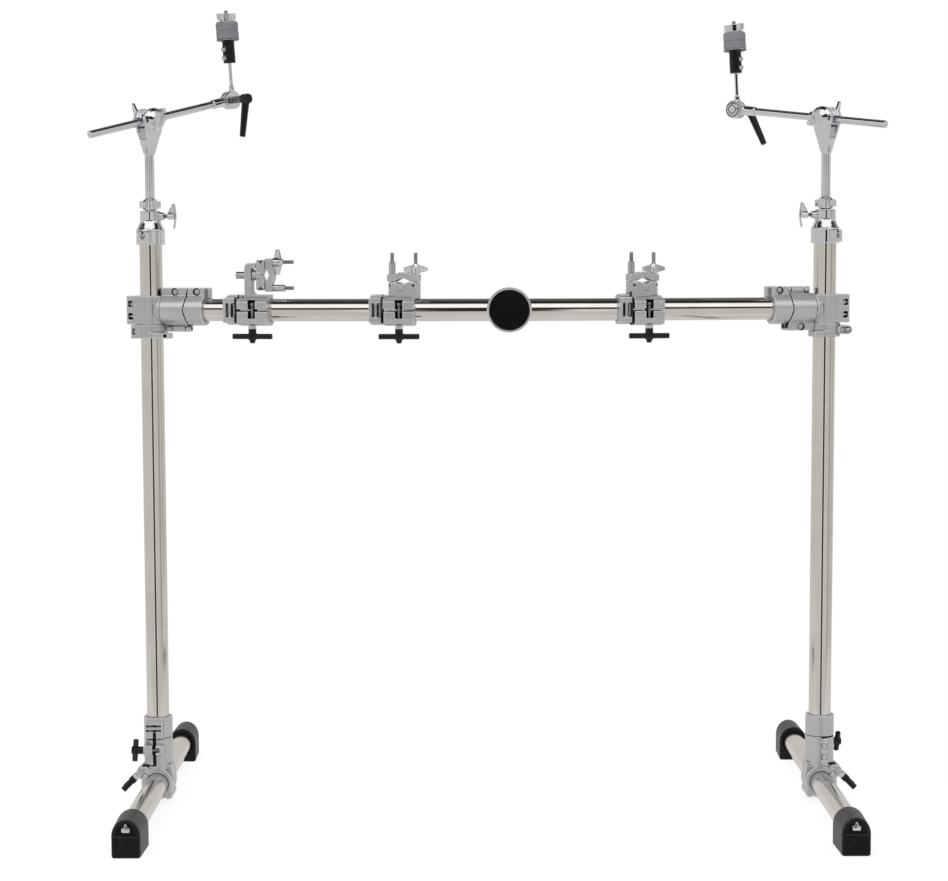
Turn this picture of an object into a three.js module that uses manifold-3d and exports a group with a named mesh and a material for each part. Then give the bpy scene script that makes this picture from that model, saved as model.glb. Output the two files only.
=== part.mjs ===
// A free-standing drum rack: two legs, a curved cross bar, three rack clamps and two cymbal booms.
// Millimetres, +X to the right as seen from the front, +Y to the back, +Z up.
// The origin is on the floor, midway between the legs and midway along the feet.
import * as THREE from 'three';
import { mergeVertices } from 'three/addons/utils/BufferGeometryUtils.js';
import Module from 'manifold-3d';

const wasm = await Module();
wasm.setup();

// Overall layout
const UPRIGHT_SPACING = 1146;
const BAR_HEIGHT = 852;
const BAR_BOW = 70;
const FOOT_LENGTH = 710;
const FOOT_AXIS_HEIGHT = 35;
const UPRIGHT_OVER_BAR = 130;
const UPRIGHT_TOP = BAR_HEIGHT + UPRIGHT_OVER_BAR;
const HALF_SPACING = UPRIGHT_SPACING / 2;

// Fits: a fixed seat, a running fit, a visible parting line and the overrun of a cut
const SEAT_GAP = 0.3;
const RUNNING_GAP = 0.4;
const BAR_GAP = 0.5;
const PARTING_GAP = 1.2;
const OVERRUN = 3;

// Tubes
const TUBE_RADIUS = 19.05;
const TUBE_WALL = 1.6;
const BAR_END_SHORTFALL = 24;
const BAR_STEPS = 14;
const TUBE_SIDES = 16;
const BORE_SIDES = 8;
const SMALL_SIDES = 8;
const CORNER_STEPS = 3;

// Boots on the foot tubes
const BOOT_LENGTH = 72;
const BOOT_MOUTH_HALF_WIDTH = 25.5;
const BOOT_END_HALF_WIDTH = 23;
const BOOT_CROWN = 27;
const BOOT_HEIGHT = FOOT_AXIS_HEIGHT + BOOT_CROWN;
const BOOT_END_WALL = 14;
const BOOT_FACE_RECESS = 3;
const BOOT_FACE_RIM = 3.5;
const BOOT_SPIKE_RADIUS = 6.5;
const BOOT_SPIKE_RISE = 9;
const BOOT_SPIKE_HEIGHT = FOOT_AXIS_HEIGHT + BOOT_SPIKE_RISE;

// Leg clamp: a hinged sleeve on the upright above a hinged saddle on the foot tube
const LEG_SLEEVE_RADIUS = 24.5;
const LEG_SLEEVE_RISE = 23;
const LEG_SLEEVE_FOOT = FOOT_AXIS_HEIGHT + LEG_SLEEVE_RISE;
const LEG_DOOR_RISE = 9;
const LEG_DOOR_HEIGHT = 46.5;
const LEG_DOOR_FOOT = LEG_SLEEVE_FOOT + LEG_DOOR_RISE;
const LEG_DOOR_TOP = LEG_DOOR_FOOT + LEG_DOOR_HEIGHT;
const LEG_LOCK_HEIGHT = 37.5;
const LEG_LOCK_TOP = LEG_DOOR_TOP + LEG_LOCK_HEIGHT;
const UPRIGHT_FOOT = LEG_DOOR_FOOT + SEAT_GAP;
const LEG_GROOVE_DEPTH = 2.5;
const LEG_SPLIT_OFFSET = 5.4;
const LEG_SHOULDER_REACH = 28;
const LEG_SHOULDER_RISE = 10;
const LEG_SHOULDER_HEIGHT = FOOT_AXIS_HEIGHT + LEG_SHOULDER_RISE;
const LEG_SHOULDER_HALF_DEPTH = 18;
const LEG_HINGE_BACK = 29.5;
const LEG_HINGE_RADIUS = 4.6;
const LEG_HINGE_WEB = 7;
const LEG_HINGE_WEB_START = 20;
const LEG_KNUCKLES = 5;
const LEG_BOLT_RISE = 29;
const LEG_BOLT_HEIGHT = LEG_DOOR_FOOT + LEG_BOLT_RISE;
const LEG_BOLT_FRONT = 27.5;
const LEG_BOLT_RADIUS = 3.2;
const LEG_LUG_HALF_HEIGHT = 8.5;
const LEG_LUG_FRONT = 33;
const LEG_LUG_INNER_REACH = 13;
const LEG_LUG_OUTER_REACH = 22;
const LEG_LUG_START = 15;
const LEG_SLOT_HALF_HEIGHT = 4;
const LEG_SLOT_END = 6;
const LEG_HUB_LENGTH = 20;
const LEG_KEY_HEIGHT = (LEG_DOOR_TOP + PARTING_GAP + LEG_LOCK_TOP) / 2;
const LEG_KEY_RADIUS = 2.6;
const LEG_KEY_FRONT = 23.5;
const LEG_LOCK_FACE = 26;
const LEG_WINDOW_HALF_HEIGHT = 6;
const LEG_WINDOW_LEFT = 18;
const LEG_WINDOW_RIGHT = 9;
const LEG_LOCK_SLOT_WIDTH = 1.8;

// Saddle of the leg clamp, with places measured along its split line and across it
const SADDLE_HALF_LENGTH = 24;
const SADDLE_RADIUS = 27.5;
const SADDLE_SPLIT_ANGLE = 135;
const SADDLE_HINGE_REACH = 27;
const SADDLE_HINGE_RADIUS = 7.4;
const SADDLE_KNUCKLE_HALF = 9.5;
const SADDLE_LUG_REACH = 34;
const SADDLE_LUG_RADIUS = 7.5;
const SADDLE_LUG_RISE = 2;
const SADDLE_FORK_HALF = 5.8;
const SADDLE_DIMPLE_RADIUS = 2;
const SWING_EYE_RADIUS = 4.9;
const SWING_SHAFT_RADIUS = 3.4;
const JAW_BLOCK_END = 42;
const JAW_BLOCK_HEIGHT = 17;
const JAW_BLOCK_SHOULDER = 11;
const JAW_BLOCK_HALF_DEPTH = 13;
const JAW_SLOT_START = 29;
const JAW_SLOT_HALF = 4.6;
const SWING_NUT_RADIUS = 6.5;
const SWING_NUT_LENGTH = 17;
const SWING_LOBE_LENGTH = 18;
const SWING_LOBE_SPREAD = 10;
const SWING_LOBE_RADIUS = 3;

// T-clamp: a sleeve on the upright with a branch that grips the end of the cross bar
const T_HALF_HEIGHT = 24;
const T_SLEEVE_RADIUS = 26.5;
const T_EAR_REACH = 35;
const T_FACE_END = 10;
const T_SPLIT_DEPTH = 20;
const T_BRANCH_RADIUS = 24;
const T_BRANCH_END = 22.4;
const T_CAP_START = 23.6;
const T_HINGE_START = 27.5;
const T_REAR_END = 73;
const T_LOCK_START = 75;
const T_LOCK_END = 98.5;
const T_PLATE_END = 105;
const T_PLATE_FOOT = 16.5;
const T_PARTING_PLACES = [70.5, 66.3, 65.3, 66.2, 75];
const T_PARTING_HEIGHTS = [45, 5, 0, -5, -45];
const T_EAR_HEIGHT = 37.5;
const T_EAR_HALF_DEPTH = 13;
const T_HINGE_DROP = 32.4;
const T_HINGE_RADIUS = 4.8;
const T_HINGE_WEB = 4;
const T_KNUCKLE_SHARES = [0, 0.24, 0.76, 1];
const T_WELL_RADIUS = 6;
const T_WELL_DEPTH = 8;
const T_WELL_RISE = 30.5;
const T_CAP_WELL = 47;
const T_LOCK_WELL = 86;
const T_BOLT_RADIUS = 4.2;
const T_BOLT_HEIGHT = 5.5;
const T_SLOT_WIDTH = 9;
const T_SLOT_HEIGHT = 11;
const T_SLOT_RISE = 10.5;
const T_SLOT_DEPTH = 11;
const T_SLOT_EDGE = 2.5;
const T_BRIDGE_HALF_HEIGHT = 18;
const T_BRIDGE_DEPTH = 8;

// Lock ring under each T-clamp
const RING_GAP = 0.6;
const RING_HEIGHT = 23.7;
const RING_OUTER_REACH = 28;
const RING_EAR_HEIGHT = 9.6;
const RING_EAR_BACK = 8;
const RING_WELL_RADIUS = 3.4;
const RING_WELL_PLACE = 33;
const RING_SLOT_WIDTH = 5.5;
const RING_OVAL_PLACE = 26.5;
const RING_OVAL_HALF_LENGTH = 13.5;
const RING_OVAL_RADIUS = 8;
const RING_OVAL_RIM = 2.5;
const RING_OVAL_DEPTH = 4;
const KEY_BOLT_RADIUS = 3.4;

// Badge: a plain round plate on the front of the cross bar
const BADGE_PLACE = 34;
const BADGE_RADIUS = 37.5;
const BADGE_RIM = 4;
const BADGE_THICKNESS = 7;
const BADGE_RECESS = 1.5;
const BADGE_BACK = 21;
const BADGE_SADDLE_HALF = 15;
const BADGE_SADDLE_DEPTH = 10;
const BADGE_SIDES = 32;

// Rack clamps: places of their T-bolts along the bar, and the shift and turn of their V-clamps
const CLAMP_FROM_LEFT = 183;
const CLAMP_FROM_MIDDLE = 147;
const CLAMP_FROM_RIGHT = 309;
const V_CLAMP_SHIFT = 6;
const V_CLAMP_TURN = 20;
const RACK_CLAMPS = [
  { place: CLAMP_FROM_LEFT - HALF_SPACING, angled: true },
  { place: -CLAMP_FROM_MIDDLE, shift: V_CLAMP_SHIFT, turn: -V_CLAMP_TURN },
  { place: HALF_SPACING - CLAMP_FROM_RIGHT, shift: -V_CLAMP_SHIFT, turn: V_CLAMP_TURN },
];
const CLAMP_HALF_WIDTH = 25.5;
const CLAMP_FRONT = 37;
const CLAMP_BACK = 23.5;
const CLAMP_CORNER = 6;
const CLAMP_TOP = 20;
const CLAMP_PARTING = 2;
const CLAMP_BOTTOM = 26.5;
const CLAMP_HINGE_RADIUS = 5;
const CLAMP_HINGE_BACK = CLAMP_BACK + CLAMP_HINGE_RADIUS + RUNNING_GAP;
const CLAMP_KNUCKLE_HALF = 11;
const CLAMP_SLOT_HALF = 6;
const CLAMP_SLOT_DEPTH = 15;
const CLAMP_SLOT_TOP = 16.5;
const CLAMP_SLOT_BOTTOM = 14;
const CLAMP_BOLT_FRONT = 30;
const CLAMP_BOLT_RADIUS = 3.4;
const CLAMP_BOLT_HEAD_RADIUS = 5;
const CLAMP_BOLT_HEAD_HEIGHT = 5;
const CLAMP_BOLT_TOP = 12.5;
const CLAMP_LOCK_START = 27.5;
const CLAMP_LOCK_END = 50;
const CLAMP_LOCK_RADIUS = 25;
const CLAMP_LOCK_HALF_HEIGHT = 21;
const CLAMP_WINDOW_START = 29.5;
const CLAMP_WINDOW_END = 45;
const CLAMP_WINDOW_HALF_HEIGHT = 12;
const CLAMP_WINDOW_DEPTH = 11;
const CLAMP_KEY_PLACE = 38.5;
const CLAMP_KEY_FRONT = 31;
const CLAMP_KEY_RADIUS = 2.6;
const CLAMP_RIDGE_TOP = 25.5;
const CLAMP_RIDGE_HALF_DEPTH = 12;
const HANDLE_HUB_RADIUS = 6.6;
const HANDLE_DROP = 43.5;
const HANDLE_RADIUS = 3.6;
const HANDLE_HALF_SPAN = 34;
const HANDLE_TIP_DROP = 55;

// V-clamp, in a frame at the top of its base
const V_BASE_HALF_WIDTH = 25.5;
const V_BASE_HALF_DEPTH = 12;
const V_BASE_CHAMFER = 4.5;
const V_BASE_HEIGHT = 28;
const V_NOTCH_HALF_WIDTH = 12;
const V_NOTCH_DEPTH = 5.5;
const V_JAW_HALF_WIDTH = 28;
const V_JAW_HALF_DEPTH = 8.5;
const V_JAW_NOTCH_HALF_WIDTH = 15;
const V_JAW_NOTCH_HEIGHT = 7.5;
const V_JAW_EAR_HEIGHT = 12.5;
const V_JAW_CROWN_HEIGHT = 16.5;
const V_JAW_CROWN_HALF_WIDTH = 15;
const V_PAD_HALF_WIDTH = 5;
const V_PAD_HEIGHT = 8;
const V_PAD_THICKNESS = 1.5;
const STUD_HALF_SPACING = 21.7;
const STUD_RADIUS = 3.1;
const STUD_DEPTH = 8;
const STUD_LENGTH = 48.5;
const KEY_NUT_RADIUS = 5.8;
const KEY_NUT_HEIGHT = 21;
const WING_HUB_RADIUS = 6.8;
const WING_HUB_HEIGHT = 18;
const WING_HALF_SPAN = 21.5;
const WING_FOOT = 5;
const WING_TIP_HEIGHT = 11;
const WING_HALF_THICKNESS = 2.6;

// Angled clamp: an arm that holds its V-clamp on its side, on a pivot bolt
const ARM_LEFT = 18;
const ARM_THICKNESS = 11;
const ARM_HALF_DEPTH = 13;
const ARM_FOOT_TOP = 26;
const ARM_FOOT_END = 25;
const ARM_TOP = 79;
const ARM_HOOK_END = 1.2;
const ARM_HOOK_FOOT = 70;
const ARM_CORNER = 8;
const PIVOT_HEIGHT = 58.5;
const PIVOT_BOSS_RADIUS = 9;
const PIVOT_RADIUS = 3.5;
const PIVOT_HEAD_RADIUS = 6;
const PIVOT_HEAD_LENGTH = 17;
const ANGLED_BASE_START = 2;
const ANGLED_BASE_HEIGHT = 14;

// Collar that closes the upright and guides the mast
const COLLAR_OVERLAP = 20;
const COLLAR_SKIRT_HEIGHT = 25;
const COLLAR_CONE_HEIGHT = 14;
const COLLAR_NECK_HEIGHT = 18.5;
const COLLAR_FOOT = UPRIGHT_TOP - COLLAR_OVERLAP;
const COLLAR_SHOULDER = COLLAR_FOOT + COLLAR_SKIRT_HEIGHT;
const COLLAR_NECK_FOOT = COLLAR_SHOULDER + COLLAR_CONE_HEIGHT;
const COLLAR_TOP = COLLAR_NECK_FOOT + COLLAR_NECK_HEIGHT;
const COLLAR_RADIUS = 24;
const COLLAR_NECK_RADIUS = 17.3;
const COLLAR_BOSS_HALF_WIDTH = 12;
const COLLAR_BOSS_FRONT = 28;
const COLLAR_BOSS_MARGIN = 2.5;
const COLLAR_SCREW_RADIUS = 3.6;
const COLLAR_SCREW_DROP = 10;
const COLLAR_HOLE_RADIUS = 1.6;
const COLLAR_HOLE_DROP = 3;
const MAST_SCREW_HEIGHT = (COLLAR_NECK_FOOT + COLLAR_TOP) / 2;
const MAST_SCREW_RADIUS = 3.2;
const MAST_SCREW_START = 9;
const MAST_SCREW_LUG_RADIUS = 6.5;
const MAST_SCREW_LUG_END = 25;
const MAST_SCREW_HUB_RADIUS = 5.5;
const MAST_SCREW_HUB_START = 31;
const MAST_SCREW_HUB_END = 43;
const MAST_SCREW_WING_HALF_SPAN = 21;

// Mast and its fork
const MAST_RADIUS = 7.95;
const MAST_WALL = 1.6;
const MAST_DEPTH = 199.5;
const MAST_FOOT = COLLAR_TOP - MAST_DEPTH;
const MAST_LOCK_FOOT = COLLAR_TOP + PARTING_GAP;
const MAST_LOCK_HEIGHT = 18;
const MAST_LOCK_RADIUS = 12;
const MAST_LOCK_HALF_WIDTH = 18;
const MAST_LOCK_HALF_DEPTH = 6;
const PIVOT_RISE = 152.5;
const PIVOT_LEVEL = COLLAR_TOP + PIVOT_RISE;
const FORK_HEIGHT = 57;
const FORK_FOOT = PIVOT_LEVEL - FORK_HEIGHT;
const FORK_FOOT_HALF_WIDTH = 10;
const FORK_HALF_WIDTH = 16.5;
const FORK_SHOULDER_DROP = 8;
const FORK_HALF_DEPTH = 17;
const FORK_SLOT_HALF = 11.2;
const FORK_SLOT_DROP = 33;

// Tilter knuckle in the fork
const KNUCKLE_RADIUS = 14.5;
const KNUCKLE_HALF = 10.7;
const KNUCKLE_PIN_RADIUS = 4.6;
const KNUCKLE_DOME_RADIUS = 15;
const KNUCKLE_DOME_HEIGHT = 7.5;
const KNUCKLE_SLEEVE_RADIUS = 9.6;
const KNUCKLE_SLEEVE_END = 31;
const KNUCKLE_WING_HUB_RADIUS = 6.5;
const KNUCKLE_WING_END = 38;
const KNUCKLE_WING_HALF_SPAN = 31;
const KNUCKLE_EYE_PLACE = 24;
const KNUCKLE_EYE_RISE = 10.5;
const KNUCKLE_EYE_RADIUS = 4.4;
const KNUCKLE_EYE_REACH = 16;

// Boom rod, its hub and the clamping lever
const ROD_RADIUS = 6.35;
const ROD_LENGTH = 295;
const BOOM_OVERHANG = 87;
const HUB_RADIUS = 15.5;
const HUB_THICKNESS = 10;
const HUB_HALF_GAP = 0.3;
const HUB_COLLAR_RADIUS = 8;
const HUB_COLLAR_START = 40;
const HUB_COLLAR_END = 16.2;
const HUB_NECK_HALF_HEIGHT = 6;
const HUB_NECK_REACH = 19;
const HUB_CAP_RADIUS = 10;
const HUB_CAP_HEIGHT = 2.5;
const LEVER_SHAFT_RADIUS = 3.4;
const LEVER_BOSS_RADIUS = 6;
const LEVER_HEAD_PLACE = 45;
const LEVER_HEAD_RADIUS = 8.6;
const LEVER_HEAD_HALF = 8;
const LEVER_HANDLE_LENGTH = 66;
const LEVER_HANDLE_RADIUS = 6.8;
const LEVER_TIP_RADIUS = 5;

// Cymbal seat on the hub, as heights along its post from the middle of the hub
const SEAT_BOSS_TOP = 23;
const SEAT_BOSS_RADIUS = 4.9;
const SEAT_POST_RADIUS = 3;
const SEAT_SLEEVE_FOOT = 63.5;
const SEAT_SLEEVE_RADIUS = 10.5;
const SEAT_SCREW_HEIGHTS = [72, 87];
const SEAT_SCREW_RADIUS = 4;
const SEAT_SCREW_REACH = 14;
const SEAT_CUP_FOOT = 101.2;
const SEAT_CUP_RADIUS = 19.7;
const SEAT_CUP_THICKNESS = 2.4;
const FELT_RADIUS = 19.2;
const FELT_HEIGHT = 14.4;
const FELT_GROOVE_DEPTH = 1.2;
const FELT_GROOVE_HEIGHT = 0.8;
const SEAT_SPINDLE_TOP = 153.5;
const TOP_WASHER_RADIUS = 18;
const TOP_WASHER_THICKNESS = 1.6;
const TOP_NUT_RADIUS = 6.8;
const TOP_NUT_HEIGHT = 15;
const TOP_NUT_HALF_SPAN = 18.6;
const TOP_NUT_HALF_THICKNESS = 3.2;

// The two sides, in degrees: flip turns the clamps round, screw and boss place the collar's wing screw
// and boss, and the rest sets each boom's swing, rise, seat lean, lever swing and tilter roll
const LEFT = {
  ...{ name: 'left', place: -1, flip: 0, lift: 1, innerReach: 41 },
  ...{ screw: -10, boss: -101, swing: 42, rise: 13.9, lean: -4.4, lever: 7, roll: 0 },
};
const RIGHT = {
  ...{ name: 'right', place: 1, flip: 180, lift: -1, innerReach: 27 },
  ...{ screw: 188, boss: 122, swing: 140.5, rise: 7.5, lean: 3.5, lever: 27, roll: 180 },
};

// Finishes
const STAINLESS = { color: 0xb9b4ae, roughness: 0.22, metalness: 1 };
const SATIN_CAST = { color: 0x9b9c9e, roughness: 0.45, metalness: 0.9 };
const CHROME = { color: 0xc9cacd, roughness: 0.12, metalness: 1 };
const BLACK_PLASTIC = { color: 0x17171a, roughness: 0.4, metalness: 0 };
const RUBBER = { color: 0x3a3a3c, roughness: 0.75, metalness: 0 };
const FELT = { color: 0x84828a, roughness: 1, metalness: 0 };
const BLACK_ENAMEL = { color: 0x121214, roughness: 0.2, metalness: 0.2 };

// Points, angles and directions
const at = (x, y, z) => new THREE.Vector3(x, y, z);
const radians = THREE.MathUtils.degToRad;
const ORIGIN = at(0, 0, 0);
const ALONG_X = at(1, 0, 0);
const ALONG_Y = at(0, 1, 0);
const ALONG_Z = at(0, 0, 1);

// Turns a three.js geometry into a closed solid that can be joined and cut.
function solidOf(geometry) {
  const bare = geometry.clone();
  bare.deleteAttribute('normal');
  bare.deleteAttribute('uv');
  const merged = mergeVertices(bare);
  const corners = merged.index.array;
  const triVerts = [];
  for (let i = 0; i < corners.length; i += 3) {
    const [a, b, c] = corners.slice(i, i + 3);
    if (a !== b && b !== c && c !== a) triVerts.push(a, b, c);
  }
  return new wasm.Manifold(
    new wasm.Mesh({
      numProp: 3,
      vertProperties: new Float32Array(merged.attributes.position.array),
      triVerts: new Uint32Array(triVerts),
    }),
  );
}

// Turns a solid back into a geometry with flat shading.
function geometryOf(solid) {
  const mesh = solid.getMesh();
  const indexed = new THREE.BufferGeometry();
  indexed.setAttribute('position', new THREE.BufferAttribute(mesh.vertProperties, 3));
  indexed.setIndex(new THREE.BufferAttribute(mesh.triVerts, 1));
  const geometry = indexed.toNonIndexed();
  geometry.computeVertexNormals();
  return geometry;
}

const joined = (first, ...others) => others.reduce((whole, other) => whole.add(other), first);
const cut = (first, ...others) => others.reduce((whole, other) => whole.subtract(other), first);

// Puts a solid as one named mesh into its group, with the mesh's origin at its pivot.
function addPiece(parent, name, solid, finish, pivot = ORIGIN) {
  const geometry = geometryOf(solid);
  geometry.translate(-pivot.x, -pivot.y, -pivot.z);
  const mesh = new THREE.Mesh(geometry, new THREE.MeshStandardMaterial(finish));
  mesh.name = name;
  mesh.position.copy(pivot);
  parent.add(mesh);
}

// A group at a position, turned by angles in degrees about its X, Y and Z axes.
function addGroup(parent, position, turnX = 0, turnY = 0, turnZ = 0) {
  const group = new THREE.Group();
  group.position.copy(position);
  group.rotation.set(radians(turnX), radians(turnY), radians(turnZ));
  parent.add(group);
  return group;
}

// A round bar between two points, which may taper towards its end.
function rod(start, end, radius, sides = SMALL_SIDES, endRadius = radius) {
  const span = end.clone().sub(start);
  const geometry = new THREE.CylinderGeometry(endRadius, radius, span.length(), sides);
  geometry.applyQuaternion(new THREE.Quaternion().setFromUnitVectors(ALONG_Y, span.normalize()));
  geometry.translate(...start.clone().add(end).divideScalar(2).toArray());
  return solidOf(geometry);
}

// A box between two opposite corners.
function block(one, other) {
  const low = one.clone().min(other);
  const high = one.clone().max(other);
  const geometry = new THREE.BoxGeometry(...high.clone().sub(low).toArray());
  geometry.translate(...low.add(high).divideScalar(2).toArray());
  return solidOf(geometry);
}

// A turned shape: its profile of [radius, height] pairs runs along a direction from a base point.
function turned(profile, base, direction, sides = SMALL_SIDES) {
  const points = profile.map(([radius, height]) => new THREE.Vector2(radius, height));
  const geometry = new THREE.LatheGeometry(points, sides);
  geometry.applyQuaternion(new THREE.Quaternion().setFromUnitVectors(ALONG_Y, direction));
  geometry.translate(...base.toArray());
  return solidOf(geometry);
}

// A flat outline through an array of pairs.
const outline = (pairs) => new THREE.Shape(pairs.map(([u, v]) => new THREE.Vector2(u, v)));

// A plate between two places, cut from an outline that is drawn on two directions.
function plate(shape, across, up, start, end) {
  const geometry = new THREE.ExtrudeGeometry(shape, {
    depth: Math.abs(end - start),
    bevelEnabled: false,
    curveSegments: CORNER_STEPS,
  });
  const outward = across.clone().cross(up);
  geometry.applyMatrix4(new THREE.Matrix4().makeBasis(across, up, outward));
  geometry.translate(...outward.multiplyScalar(Math.min(start, end)).toArray());
  return solidOf(geometry);
}

// Plates as seen from the front (X, Z), from the right (Y, Z) and from above (X, Y).
const frontPlate = (shape, front, back) => plate(shape, ALONG_X, ALONG_Z, -back, -front);
const sidePlate = (shape, left, right) => plate(shape, ALONG_Y, ALONG_Z, left, right);
const topPlate = (shape, foot, top) => plate(shape, ALONG_X, ALONG_Y, foot, top);

// A straight tube with open ends.
function tube(start, end, radius, wall) {
  const extra = end.clone().sub(start).normalize().multiplyScalar(OVERRUN);
  const bore = rod(start.clone().sub(extra), end.clone().add(extra), radius - wall, BORE_SIDES);
  return cut(rod(start, end, radius, TUBE_SIDES), bore);
}

// The room for an upright between two heights.
function uprightBore(foot, top) {
  return rod(at(0, 0, foot), at(0, 0, top), TUBE_RADIUS + RUNNING_GAP, TUBE_SIDES);
}

// The cross bar's centre line: an arc through both uprights, bowed forward by BAR_BOW.
const ARC_RADIUS = (HALF_SPACING ** 2 + BAR_BOW ** 2) / (2 * BAR_BOW);
const ARC_CENTRE = at(0, ARC_RADIUS - BAR_BOW, BAR_HEIGHT);
const BAR_HALF_ANGLE = Math.asin(HALF_SPACING / ARC_RADIUS) - BAR_END_SHORTFALL / ARC_RADIUS;

// The T-clamps' turn about the uprights, along the bar's direction at the start of their branches.
const T_TURN = -THREE.MathUtils.radToDeg(Math.asin((HALF_SPACING - T_BRANCH_END) / ARC_RADIUS));

class BarArc extends THREE.Curve {
  constructor(halfAngle) {
    super();
    this.halfAngle = halfAngle;
  }

  getPoint(share, target = new THREE.Vector3()) {
    const angle = THREE.MathUtils.lerp(-this.halfAngle, this.halfAngle, share);
    const back = ARC_CENTRE.y - ARC_RADIUS * Math.cos(angle);
    return target.set(ARC_RADIUS * Math.sin(angle), back, BAR_HEIGHT);
  }
}

// A round bar along the arc, up to an angle on each side of the middle.
function arcGeometry(radius, halfAngle, sides) {
  const pairs = [];
  for (let i = 0; i < sides; i += 1) {
    const turn = (2 * Math.PI * (i + 1 / 2)) / sides;
    pairs.push([radius * Math.cos(turn), radius * Math.sin(turn)]);
  }
  const extrudePath = new BarArc(halfAngle);
  return new THREE.ExtrudeGeometry(outline(pairs), { steps: BAR_STEPS, extrudePath });
}

// The room that the cross bar needs with a clearance, in the frame of a group that holds it.
function barBore(group, clearance) {
  const halfAngle = BAR_HALF_ANGLE + PARTING_GAP / ARC_RADIUS;
  const geometry = arcGeometry(TUBE_RADIUS + clearance, halfAngle, TUBE_SIDES);
  group.updateWorldMatrix(true, false);
  geometry.applyMatrix4(group.matrixWorld.clone().invert());
  return solidOf(geometry);
}

// A group on the bar's axis at a place along X, with its own X along the bar.
function addBarGroup(place) {
  const angle = Math.asin(place / ARC_RADIUS);
  const position = at(place, ARC_CENTRE.y - ARC_RADIUS * Math.cos(angle), BAR_HEIGHT);
  return addGroup(rack, position, 0, 0, THREE.MathUtils.radToDeg(angle));
}

const rack = new THREE.Group();

// Feet

// An arch outline: flat below, upright to the tube's axis, and half an ellipse above.
function archOutline(halfWidth, foot, top) {
  const shape = new THREE.Shape();
  shape.moveTo(-halfWidth, foot);
  shape.lineTo(halfWidth, foot);
  shape.lineTo(halfWidth, FOOT_AXIS_HEIGHT);
  shape.absellipse(0, FOOT_AXIS_HEIGHT, halfWidth, top - FOOT_AXIS_HEIGHT, 0, Math.PI);
  return shape;
}

// A rubber boot whose closed end faces outward (facing is -1 to the front, 1 to the back).
function boot(facing) {
  const closedEnd = (facing * FOOT_LENGTH) / 2;
  const mouth = closedEnd - facing * BOOT_LENGTH;
  const body = new THREE.ExtrudeGeometry(archOutline(BOOT_MOUTH_HALF_WIDTH, 0, BOOT_HEIGHT), {
    depth: BOOT_LENGTH,
    bevelEnabled: false,
    curveSegments: 2 * CORNER_STEPS,
  });
  body.applyMatrix4(new THREE.Matrix4().makeBasis(ALONG_X, ALONG_Z, at(0, -1, 0)));
  body.translate(0, Math.max(closedEnd, mouth), 0);
  const places = body.attributes.position;
  for (let i = 0; i < places.count; i += 1) {
    const share = Math.abs(places.getY(i) - closedEnd) / BOOT_LENGTH;
    const scale = THREE.MathUtils.lerp(BOOT_END_HALF_WIDTH / BOOT_MOUTH_HALF_WIDTH, 1, share);
    places.setX(i, places.getX(i) * scale);
  }
  const face = archOutline(
    BOOT_END_HALF_WIDTH - BOOT_FACE_RIM,
    FOOT_AXIS_HEIGHT,
    BOOT_HEIGHT - BOOT_FACE_RIM,
  );
  const recess = closedEnd - facing * BOOT_FACE_RECESS;
  const outside = closedEnd + facing * OVERRUN;
  const socket = rod(
    at(0, closedEnd - facing * BOOT_END_WALL, FOOT_AXIS_HEIGHT),
    at(0, mouth - facing * OVERRUN, FOOT_AXIS_HEIGHT),
    TUBE_RADIUS + RUNNING_GAP,
    TUBE_SIDES,
  );
  const spike = rod(
    at(0, recess - facing * BOOT_FACE_RECESS, BOOT_SPIKE_HEIGHT),
    at(0, closedEnd, BOOT_SPIKE_HEIGHT),
    BOOT_SPIKE_RADIUS,
    SMALL_SIDES,
    BOOT_SPIKE_RADIUS / 2,
  );
  const opened = cut(
    solidOf(body),
    frontPlate(face, Math.min(outside, recess), Math.max(outside, recess)),
    socket,
  );
  return joined(opened, spike);
}

// One foot: its tube and a boot on each end.
function addFoot(side) {
  const foot = addGroup(rack, at(side.place * HALF_SPACING, 0, 0));
  const tubeEnd = FOOT_LENGTH / 2 - BOOT_END_WALL - SEAT_GAP;
  const [front, back] = [-tubeEnd, tubeEnd].map((y) => at(0, y, FOOT_AXIS_HEIGHT));
  addPiece(foot, `${side.name}_foot_tube`, tube(front, back, TUBE_RADIUS, TUBE_WALL), STAINLESS);
  addPiece(foot, `${side.name}_front_boot`, boot(-1), RUBBER);
  addPiece(foot, `${side.name}_back_boot`, boot(1), RUBBER);
}

// Leg clamps

// A point of the saddle: reach along its split line towards the lug, drop across it to the jaw.
const SPLIT_TURN = radians(SADDLE_SPLIT_ANGLE);
const REACH_DIRECTION = at(Math.cos(SPLIT_TURN), 0, Math.sin(SPLIT_TURN));
const DROP_DIRECTION = at(-REACH_DIRECTION.z, 0, REACH_DIRECTION.x);

function saddlePoint(reach, drop, y = 0) {
  const point = at(0, y, FOOT_AXIS_HEIGHT);
  return point.addScaledVector(REACH_DIRECTION, reach).addScaledVector(DROP_DIRECTION, drop);
}

// A block of the saddle between two reaches and two drops, of a half depth along the foot.
function saddleBlock(startReach, endReach, startDrop, endDrop, halfDepth) {
  const corners = [
    saddlePoint(startReach, startDrop),
    saddlePoint(endReach, startDrop),
    saddlePoint(endReach, endDrop),
    saddlePoint(startReach, endDrop),
  ];
  return frontPlate(outline(corners.map((corner) => [corner.x, corner.z])), -halfDepth, halfDepth);
}

// A round bar of the saddle along the foot between two places.
function saddleRod(reach, drop, front, back, radius) {
  return rod(saddlePoint(reach, drop, front), saddlePoint(reach, drop, back), radius);
}

const SADDLE_ROOM = 2 * SADDLE_RADIUS;

function saddleShell() {
  const [front, back] = [-SADDLE_HALF_LENGTH, SADDLE_HALF_LENGTH];
  return rod(at(0, front, FOOT_AXIS_HEIGHT), at(0, back, FOOT_AXIS_HEIGHT), SADDLE_RADIUS, TUBE_SIDES);
}

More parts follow.
